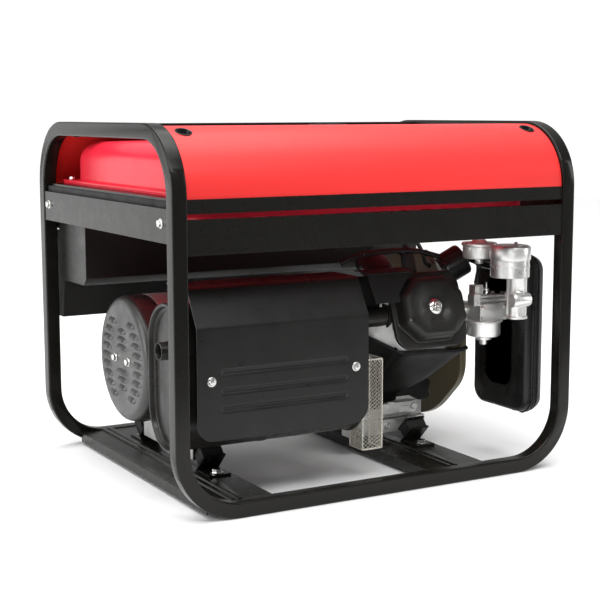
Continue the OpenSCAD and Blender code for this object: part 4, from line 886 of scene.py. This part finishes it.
def build_head():
    flange = Shape()
    rings = []
    for s, inset in ((196, 1.2), (196.6, 0.3), (197.6, 0), (201, 0), (202.2, 0.5), (203, 2.0), (203.2, 5),
            (203.2, 14)):
        rings.append([on_cylinder(x, v, s) for x, v in round_rect(134 - 2 * inset, 122 - 2 * inset, 26 - inset,
            10)])
    flange.loft(rings)
    w, h, cut = 118, 100, 28
    base = [(w / 2, -h / 2 + cut), (w / 2, h / 2 - cut), (w / 2 - cut, h / 2), (-w / 2 + cut, h / 2),
        (-w / 2, h / 2 - cut), (-w / 2, -h / 2 + cut), (-w / 2 + cut, -h / 2), (w / 2 - cut, -h / 2)]
    outline = filleted(base, 15, 8)
    angles = [math.atan2(v, x) for x, v in outline]
    rings = []
    for s, k in ((203, 1.05), (203.6, 1.02), (205, 1.0), (214, 0.985)):
        rings.append([on_cylinder(x * k, v * k, s) for x, v in outline])
    for q in range(10, 91, 10):
        a = math.radians(q)
        k = 0.985 - 0.215 * (1 - math.cos(a))
        rings.append([on_cylinder(x * k, v * k, 214 + 14.6 * math.sin(a)) for x, v in outline])
    for blend_, radius, s in ((0.18, 37, 228.9), (0.4, 34, 228.9), (0.7, 30.5, 228.5), (0.9, 27, 227.7),
            (1, 23.5, 226.4), (1, 20, 224.9), (1, 16.5, 223.9), (1, 13, 223.6), (1, 4, 223.6)):
        rings.append([on_cylinder(x * 0.77 * (1 - blend_) + radius * math.cos(a) * blend_,
            v * 0.77 * (1 - blend_) + radius * math.sin(a) * blend_, s) for (x, v), a in zip(outline, angles)])
    flange.loft(rings)
    flange.piece("rocker_cover", COVER, slot="dark_casting", replaces="head_cover", sharp=55)
    b = Shape()
    at = on_cylinder(0, 0, 223.4)
    b.lathe([(0, 0), (11.8, 0), (12.4, 0.6), (12.4, 2.0), (11.2, 3.2), (9.0, 4.2), (8.4, 4.6), (0, 4.6)], at,
        OUT, 40)
    b.hexagon(on_cylinder(0, 0, 227.8), OUT, 12.6, 5.4, washer=0)
    b.lathe([(0, 0), (3.0, 0), (3.4, 0.5), (2.6, 1.6), (0, 1.8)], on_cylinder(0, 0, 233.0), OUT, 20)
    b.piece("rocker_cover_bolt", ZINC, slot="zinc")

    head = Shape()
    body = []
    for s, w, h, r in ((195.8, 112, 102, 26), (195.2, 118, 108, 30), (190, 118, 110, 34), (182, 116, 112, 38),
            (172, 116, 114, 42), (162, 117, 116, 44), (152, 118, 118, 46), (150.3, 118, 118, 46),
            (150, 116, 116, 44)):
        body.append([on_cylinder(x, v, s) for x, v in round_rect(w, h, r, 10)])
    head.loft(body)
    for s in (158, 168, 178):
        head.loft([[on_cylinder(x, v, t) for x, v in round_rect(118 + g, 116 + g, 40, 10)]
            for t, g in ((s - 1.4, -2), (s - 0.8, 0.4), (s + 0.8, 0.4), (s + 1.4, -2))])
    # The head takes the near-white painted-reflection colour.
    head.piece("cylinder_head_casting", REFLECTION_WHITE, slot="cast_aluminium", replaces="cylinder_head", sharp=40)

    cap = Shape()
    up = (0, math.sin(LEAN), math.cos(LEAN))
    plug = 173
    cap.lathe([(0, 35), (7, 35), (7, 61), (9.5, 62), (11, 64), (11, 92), (10, 96), (7, 98), (5, 100),
        (4.6, 111), (0, 111)], on_cylinder(0, 0, plug), up, 32)
    for k in range(3):
        cap.lathe([(4.4, 0), (5.6, 0.8), (4.4, 1.6)], on_cylinder(0, 102 + 2.8 * k, plug), up, 24, closed=True)
    route = [(141, -96, 342), (142, -92, 351), (158, -84, 357), (186, -62, 346), (212, -40, 326),
        (226, -28, 308), (237.6, -24, 300)]
    cap.tube(smooth_line(route, 8), 3.4, 14)
    cap.piece("spark_plug_cap", RUBBER, slot="rubber_black", replaces="spark_plug", sharp=35)

    br = Shape()
    axis = Vector((0.8, -0.3, 0.5)).normalized()
    mid = Vector((230, -103, 312))
    br.lathe([(0, -24), (19, -24), (21.4, -23), (22, -21.6), (22, -19.4), (24.6, -18.8), (25.8, -17.4),
        (26, -15.6), (26, 14), (25.4, 17.4), (23.2, 19.6), (20.6, 20), (15, 20), (14, 19.2), (0, 19)], mid,
        axis, 48)
    x, y, z = frame_of(axis)
    for a in range(0, 360, 45):
        side = spoke(x, y, math.radians(a))
        br.tube([mid + side * 25.6 - z * 14, mid + side * 25.6 + z * 14], 1.1, 8)
    hose = smooth_line([mid + axis * 14, (252, -112, 321), (257, -122, 319), (257, -142, 315), (255, -170, 314),
        (253, -188.7, 314)], 8)
    br.tube(hose, 6, 18)
    br.tube([hose[-5], hose[-2]], 7.2, 18)
    br.piece("breather_cup", PLASTIC, slot="black_plastic", replaces="breather", sharp=38)


def build_cowls():
    """Air guide and tray round the barrel, and the small fittings beside the crankcase."""
    bell = Shape()
    rings = []
    for s, left, right, low, high, r in ((195.4, -56, 56, -52, 52, 26), (194.8, -60, 60, -56, 55, 30),
            (190, -61, 61, -57, 56, 32), (182, -64, 61, -59, 57, 34), (172, -71, 61, -62, 57, 36),
            (160, -82, 61, -66, 57, 38), (146, -97, 61, -71, 57, 40), (130, -112, 61, -76, 57, 40),
            (112, -122, 61, -80, 57, 40), (96, -126, 61, -82, 57, 40)):
        outline = round_rect(right - left, high - low, r, 10, (left + right) / 2, (low + high) / 2)
        rings.append([on_cylinder(x, v, s) for x, v in outline])
    bell.loft(rings)
    # The air guide takes the near-white painted-reflection colour.
    bell.piece("barrel_air_guide", REFLECTION_WHITE, slot="cast_aluminium", sharp=50)

    tray = Shape()
    top = [(22, 222), (40, 213), (58, 204), (76, 195), (80, 195.5), (84, 190), (92, 188), (110, 187.6),
        (140, 187), (165, 186), (190, 185), (203, 185), (214, 187)]
    front, back = [], []
    for x, z in top:
        row = [(-165, z), (-166.6, z - 1.2), (-166.8, z - 3.4), (-165.6, z - 5.2), (-160, z - 9),
            (-146, z - 20), (-128, z - 38), (-106, z - 58), (-84, z - 74), (-66, z - 84), (-60, z - 92),
            (-58, z - 100)]
        row = [(x - max(0, x - 60) * 0.42 * (165 + y) / 107, y, h) for y, h in row]
        front.append(row)
        back.append([(q, y + 1.6, h + 1.2) for q, y, h in row])
    tray.sheet(front, back)
    # The tray takes the extra-dark painted-shade black, to stay dark under the kicker lamp.
    tray.piece("barrel_tray", SHADE, slot="dark_casting", sharp=40)

    black = Shape()
    # The first plate, left of the head in front of the flared air guide, only keeps that place dark; the others
    # cover the crankcase front.
    black.prism([(30, 306), (86, 306), (86, 262), (66, 248), (30, 248)], -126, -128.5, "y")
    black.prism(filleted([(128, 148), (150, 134), (196, 126), (218, 112), (214, 96), (219, 84), (196, 82),
        (176, 92), (132, 92), (120, 104), (118, 140)], 5, 4), -52, -59.5, "y")
    black.prism(filleted([(138, 128), (180, 118), (196, 108), (184, 100), (140, 104)], 4, 4), -59, -62, "y")
    black.piece("crankcase_guard_and_dark_plate", SHADE, slot="dark_casting", bevel=1.2, sharp=35)

    low = Shape()
    for centre, size, corner, edge in (((150, -62, 75), (68, 10, 20), 3, 1.5),
            ((134, -66, 80), (12, 6, 14), 2, 1.0), ((160, -66, 72), (22, 6, 12), 2, 1.0),
            ((150, -66.5, 47), (72, 4, 22), 2, 1.0)):
        low.soft_block(centre, size, corner, edge, "y", 3)
    low.hexagon((178, -66, 76), SOUTH, 10, 5, washer=7.5, thick=1.2, slot=1)
    low.hexagon((126, -68, 48), SOUTH, 8, 4, washer=6, thick=1.0, slot=1)
    low.piece("crankcase_bosses", [CAST, ZINC], slot="cast_aluminium", sharp=35)

    back = Shape()
    back.soft_block((130.5, 115, 150), (112, 4, 96), 10, 1.5, "y", 3)
    for x in (82, 130.5, 179):
        for z in (108, 192):
            back.hexagon((x, 117, z), NORTH, 9, 4.5, washer=6.5, thick=1.0, slot=1)
    for k in range(5):
        back.soft_block((130.5, 117, 126 + 12 * k), (84, 2.4, 3), 1.4, 0.6, "y", 2)
    back.piece("crankcase_back_cover", [CAST, ZINC], slot="cast_aluminium", sharp=35)

    dome = Shape()
    dome.lathe([(0, -8), (28, -8), (31, -6), (32, -2), (31, 4), (26, 9), (18, 12), (8, 13.4), (0, 13.6)],
        (105, -62, 312), (0, -0.55, 0.83), 48)
    dome.tube(smooth_line([(20, -92, 322), (48, -100, 334), (100, -102, 339), (156, -102, 337),
        (200, -104, 326)], 8), 4.6, 16)
    for x in (60, 130, 176):
        dome.lathe([(4.5, -3), (5.6, -2.4), (5.6, 2.4), (4.5, 3)], (x, -101, 336.5 if x < 150 else 332.5), EAST,
            20, closed=True)
    dome.piece("coil_cover_and_lead", PLASTIC, slot="black_plastic", sharp=40)


def build_engine():
    from_cad("crankcase", CAST, bevel=1.2)
    from_cad("crankshaft", STEEL, "crank", bevel=0.5)
    from_cad("flywheel", IRON, "crank", bevel=0.8)
    from_cad("blower_housing", OLIVE, bevel=2.0)
    from_cad("recoil_housing", DARK, bevel=1.4)
    from_cad("piston", SATIN, bevel=0.6)
    r = Shape()
    for a in range(0, 360, 60):
        c, s = math.cos(math.radians(a + 15)), math.sin(math.radians(a + 15))
        r.soft_block((264.5, AXIS_Y + 98 * c, AXIS_Z + 98 * s), (4.5, 15, 15), 5, 1.0, "x", 3)
        r.hexagon((266.7, AXIS_Y + 98 * c, AXIS_Z + 98 * s), EAST, 7, 3.2, washer=5.6, thick=0.9, slot=1)
    for radius in (22, 34):
        r.lathe([(radius - 1.4, 283.6), (radius - 1.2, 284.6), (radius + 1.2, 284.6), (radius + 1.4, 283.6)],
            (0, AXIS_Y, AXIS_Z), EAST, 64, closed=True)
    r.piece("recoil_cover_details", [DARK, ZINC], slot="dark_casting", sharp=35)

    hx, hy, hz = 271.25, 144, 176
    hand = Shape()
    hand.lathe([(0, -43), (4, -42.6), (7.2, -40), (8.6, -36.4), (9, -33), (8.2, -22), (7.8, -12), (8.6, -9),
        (9, 0), (8.6, 9), (7.8, 12), (8.2, 22), (9, 31), (8.6, 33), (7.2, 35.6), (4, 37), (0, 37.2)],
        (hx, hy, hz - 3), UP, 40)
    for z in (-30, -25, -20, 15, 20, 25):
        hand.lathe([(7.8, -0.9), (9.0, 0), (7.8, 0.9)], (hx, hy, hz + z), UP, 40, closed=True)
    hand.lathe([(0, 129.4), (5.6, 129.4), (6.8, 130.6), (7, 132), (7, 137.4), (5.6, 139), (0, 139)],
        (hx, 0, hz), NORTH, 32)
    hand.piece("starter_grip", RUBBER, "recoil_handle", "black_plastic", "recoil_handle", sharp=38)
    rope = Shape()
    coils = 90
    rope.tube([(hx, 116 + 14.2 * k / coils, hz) for k in range(coils + 1)],
        [2.45 + 0.12 * (k % 2) for k in range(coils + 1)], 14)
    cord = rope.piece("starter_cord", ROPE, None, "rubber_black", sharp=60)
    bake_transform(cord)

    d = Shape()
    direction = Vector((0, -0.8660, 0.5))
    at = Vector((100, -52, 84))
    grip = []
    x, y, z = frame_of(direction)
    for t, rad, bite in ((12.5, 12, 0), (12.6, 14, 0.4), (13.4, 14.6, 0.9), (19.6, 14.6, 0.9), (20.8, 14, 0.5),
            (21.5, 12.4, 0), (21.5, 6, 0), (20.9, 5, 0)):
        grip.append([at + z * t + spoke(x, y, a) * (rad + bite * math.cos(12 * a)) for a in turn(96)])
    d.loft(grip)
    d.lathe([(0, -24), (2, -24), (2.5, -23), (2.5, -2), (8.2, -2),
        (8.4, -1.4)] + [(8.4 - 0.7 * (k % 2), -1 + 0.9 * k) for k in range(14)] + [(8.2, 12.5), (0, 12.5)], at,
        direction, 40)
    d.piece("dipstick_cap", PLASTIC, "dipstick", "black_plastic", "dipstick", sharp=38)


# ---------------------------------------------------------------- intake

def build_canister():
    cx, cy, low, high, cut = 253, -221, 236, 352, 302
    k = Shape()
    k.lathe([(0, cut), (29.5, cut), (30.5, cut + 0.8), (30.5, high - 23), (30.9, high - 22.6),
        (31.6, high - 22.2), (32, high - 21.4), (32, high - 3.4), (31.4, high - 2.4), (30, high - 2),
        (29.4, high - 1.2), (28.2, high - 0.4), (24, high), (0, high)], (cx, cy, 0), UP, 64)
    k.lathe([(30.4, high - 34), (31.1, high - 33.4), (31.1, high - 31.6), (30.4, high - 31)], (cx, cy, 0), UP,
        64, closed=True)
    k.lathe([(0, low), (15.6, low), (17.2, low + 0.6), (17.4, low + 3.6), (16.8, low + 4.4), (15.8, low + 5),
        (15.8, cut - 3), (17.5, cut + 0.4), (0, cut + 0.6)], (cx + 11, cy - 4, 0), UP, 48)
    k.lathe([(0, -14), (8.6, -14), (10.4, -13.4), (11, -12.4), (11, -6), (10.4, -5.4), (10.4, -4.2), (11, -3.6),
        (11, 17.6), (10.2, 19.4), (7.4, 20.2), (0, 20.4)], (cx, cy - 22, 268), EAST, 40)
    k.lathe([(0, 19), (3, 19), (3, 22.6), (2.2, 23.4), (1.2, 26.6), (0, 27)], (cx, cy - 22, 268), EAST, 24)
    for a in (150, 270, 30):
        k.hexagon((cx + 23 * math.cos(math.radians(a)), cy + 23 * math.sin(math.radians(a)), high - 0.3), UP, 5,
            2.4, washer=3.4, thick=0.5)
    k.piece("canister_body", SATIN, slot="machined_aluminium", replaces="intake_canister", sharp=36)


def build_intake():
    from_cad("carburettor", SATIN, bevel=0.9)
    c = Shape()
    for x, z in ((225, 233), (269, 233), (225, 251), (269, 251)):
        c.lathe([(0, 0), (3.1, 0), (3.3, 0.5), (2.7, 1.6), (1.3, 1.9), (1.2, 1.2), (0, 1.1)], (x, -189, z),
            SOUTH, 20)
    c.lathe([(0, 0), (2.2, 0), (2.2, 9), (4.4, 9.6), (4.6, 12), (3.4, 13.4), (0, 13.6)], (239, -180, 268), UP,
        20)
    c.lathe([(0, 0), (1.5, 0), (1.1, 9), (0, 9.5)], (239, -180, 281), UP, 14)
    c.tube([(239 + 3.1 * math.cos(k * 0.9), -180 + 3.1 * math.sin(k * 0.9), 269 + 0.22 * k) for k in range(44)],
        0.45, 6)
    c.piece("carburettor_fittings", ZINC, slot="machined_aluminium")
    b = Shape()
    low = 229
    b.lathe([(0, 0), (29.2, 0), (30, -0.6), (30, -2.4), (29.4, -3), (27.4, -3.4), (27, -4.6), (27, -22),
        (26, -24.8), (23.4, -26), (13.2, -26.2), (13, -27), (13, -31.2), (12, -32), (6.4, -32.2), (6, -33),
        (6, -38.6), (5.2, -40), (0, -40)], (241, -172, low), UP, 56)
    b.hexagon((241, -172, low - 33), (0, 0, -1), 10.5, 5.2, washer=0)
    for x in (219, 263):
        b.soft_block((x, -172, low - 1.6), (9, 9, 3.0), 3.5, 0.6, "z", 3)
    b.piece("float_bowl_cup", SATIN, slot="machined_aluminium", replaces="float_bowl", sharp=36)
    from_cad("choke_lever", STEEL, "choke_lever", bevel=0.5)
    build_canister()

    low_y, high_y, low_z, high_z = -220, -82, 78, 331
    cy, cz, w, h = (low_y + high_y) / 2, (low_z + high_z) / 2, high_y - low_y, high_z - low_z

    def rings(profile):
        return [[(x, y, z) for y, z in round_rect(w - 2 * i, h - 2 * i, max(26 - i, 4), 8, cy, cz)]
            for x, i in profile]
    case = Shape()
    case.loft(rings([(290.4, 60), (290.4, 4), (291.5, 2.4), (303.2, 2.2), (304, 1.4), (304, -1.4),
        (303.2, -2.2), (301.4, -2.2), (300.6, -1.2), (300.2, 0), (294, 0.2), (291, 1.4), (289, 3.6), (288, 7),
        (288, 60)]))
    for k in range(3):
        case.loft([[(x, y, z) for y, z in round_rect(w - 40 - 30 * k, h - 44 - 34 * k, 22, 8, cy, cz)]
            for x in (288.2, 287.8)])
    case.piece("air_cleaner_back", PLASTIC, slot="black_plastic", replaces="air_cleaner_case", sharp=38)
    cover = Shape()
    cover.loft(rings([(319, 60), (319, 9), (317, 4.6), (305.4, 2.4), (304.6, 1.6), (304.6, -1.4), (305.4, -2.2),
        (307.2, -2.2), (308.2, -1.2), (308.8, 0.4), (311.4, 0.6), (312.2, -0.6), (314.2, -0.6), (315, 0.8),
        (320, 2), (323.6, 4), (326.4, 7.4), (327.4, 12), (327.6, 17), (326.8, 19), (326.8, 22), (327.8, 24),
        (328.4, 40), (328.4, 62)]))
    for z in (250, 205, 160):
        cover.soft_block((328.0, cy, z), (0.8, 70, 16), 7.5, 0.3, "x", 2)
    for y in (-196, -192, -176, -172):
        clip = filleted([(302, y, 75.2), (310, y, 75.2), (310, y, 81), (305.5, y, 81)], 1.6, 4, closed=False)
        cover.tube(clip, 0.9, 8, 1)
    cover.piece("air_cleaner_lid", [PLASTIC, ZINC], "air_cleaner_cover", "black_plastic", "air_cleaner_cover",
        sharp=38)
    from_cad("air_filter", FOAM, bevel=3.0)


# ---------------------------------------------------------------- studio

def build_studio():
    mesh = bpy.data.meshes.new("studio_floor")
    left, right, front, rear = -4.0, 5.0, -0.95, 6.0
    mesh.from_pydata([(left, front, -0.0004), (right, front, -0.0004), (right, rear, -0.0004),
        (left, rear, -0.0004)], [], [(0, 1, 2, 3)])
    floor = bpy.data.objects.new("studio_floor", mesh)
    bpy.context.scene.collection.objects.link(floor)
    pale = surface("pale_floor", (0.88, 0.88, 0.88), 0.6, tone=0.004, tone_scale=2.0, grain=0.02, specular=0.15)
    mesh.materials.append(pale)

    scene = bpy.context.scene
    scene.view_settings.view_transform = "Standard"
    world = bpy.data.worlds.new("studio")
    scene.world = world
    world.use_nodes = True
    tree = world.node_tree
    tree.nodes.clear()
    white = (1, 1, 1, 1)
    split = put(tree, "SeparateXYZ", {0: put(tree, "TexCoord", {}).outputs["Generated"]})
    ramp = put(tree, "MapRange", {"From Min": -0.35, "From Max": 0.35, "To Min": WORLD_FRONT,
        "To Max": WORLD_BACK, "Value": split.outputs["Y"]}, interpolation_type="SMOOTHSTEP")
    soft = put(tree, "Background", {"Color": white, "Strength": ramp.outputs["Result"]})
    plain = put(tree, "Background", {"Color": white, "Strength": 1.05})
    seen = put(tree, "LightPath", {}).outputs["Is Camera Ray"]
    both = put(tree, "MixShader", {0: seen, 1: soft.outputs[0], 2: plain.outputs[0]})
    put(tree, "OutputWorld", {0: both.outputs[0]})

    def hang(data, place):
        lamp = bpy.data.objects.new(data.name, data)
        lamp.location = place
        scene.collection.objects.link(lamp)
        return lamp

    def aim_at(lamp, target):
        lamp.rotation_euler = (Vector(target) - lamp.location).to_track_quat("-Z", "Y").to_euler()

    for name, place, aim, width, height, power in LAMPS:
        data = bpy.data.lights.new(name, "AREA")
        data.shape, data.size, data.size_y, data.energy = "RECTANGLE", width, height, power
        aim_at(hang(data, place), aim)
    data = bpy.data.lights.new("engine_kicker", "SPOT")
    data.energy, data.spot_size, data.spot_blend, data.shadow_soft_size = 90, math.radians(11), 0.8, 0.22
    aim_at(hang(data, (-0.75, -1.6, 0.32)), (0.10, -0.14, 0.215))
    data = bpy.data.lights.new("ceiling_glow", "SUN")
    data.energy, data.angle = 2.6, math.radians(70)
    hang(data, (0, 0, 0)).rotation_euler = (math.radians(8), math.radians(-6), 0)


WORLD_FRONT, WORLD_BACK = 0.22, 0.45
LAMPS = [
    # name, place, aim, width, height, power
    ("overhead", (0.0, 0.5, 3.0), (0.0, 0.2, 0.0), 3.0, 2.4, 50),
    ("front_high", (-0.4, -2.4, 2.9), (0.0, 0.0, 0.5), 2.8, 0.8, 54),
    ("left_softbox", (-3.0, 0.2, 1.2), (0.0, 0.0, 0.3), 1.4, 1.8, 44),
    ("rear_left_card", (-1.9, 3.2, 0.7), (-0.3, 0.0, 0.3), 1.8, 1.4, 8),
    ("right_card", (2.4, -1.4, 0.8), (0.3, -0.2, 0.3), 0.7, 1.4, 12),
]


def build_camera():
    yaw, pitch, roll = math.radians(29.36), math.radians(7.88), math.radians(-0.10)
    ahead = Vector((math.sin(yaw) * math.cos(pitch), math.cos(yaw) * math.cos(pitch), -math.sin(pitch)))
    right = Vector((math.cos(yaw), -math.sin(yaw), 0))
    up = right.cross(ahead)
    side = right * math.cos(roll) + up * math.sin(roll)
    top = up * math.cos(roll) - right * math.sin(roll)
    data = bpy.data.cameras.new("camera")
    data.lens, data.sensor_width = 81.35, 36
    camera = bpy.data.objects.new("camera", data)
    turn = Matrix((side, top, -ahead)).transposed().to_4x4()
    camera.matrix_world = Matrix.Translation((-1.0632, -1.8925, 0.5569)) @ turn
    bpy.context.scene.collection.objects.link(camera)
    bpy.context.scene.camera = camera


build_camera()
build_studio()
build_frame()
build_covers()
build_bolts()
build_tank()
build_fuel_tap()
build_controls()
build_alternator()
build_exhaust()
build_head()
build_cowls()
build_engine()
build_intake()
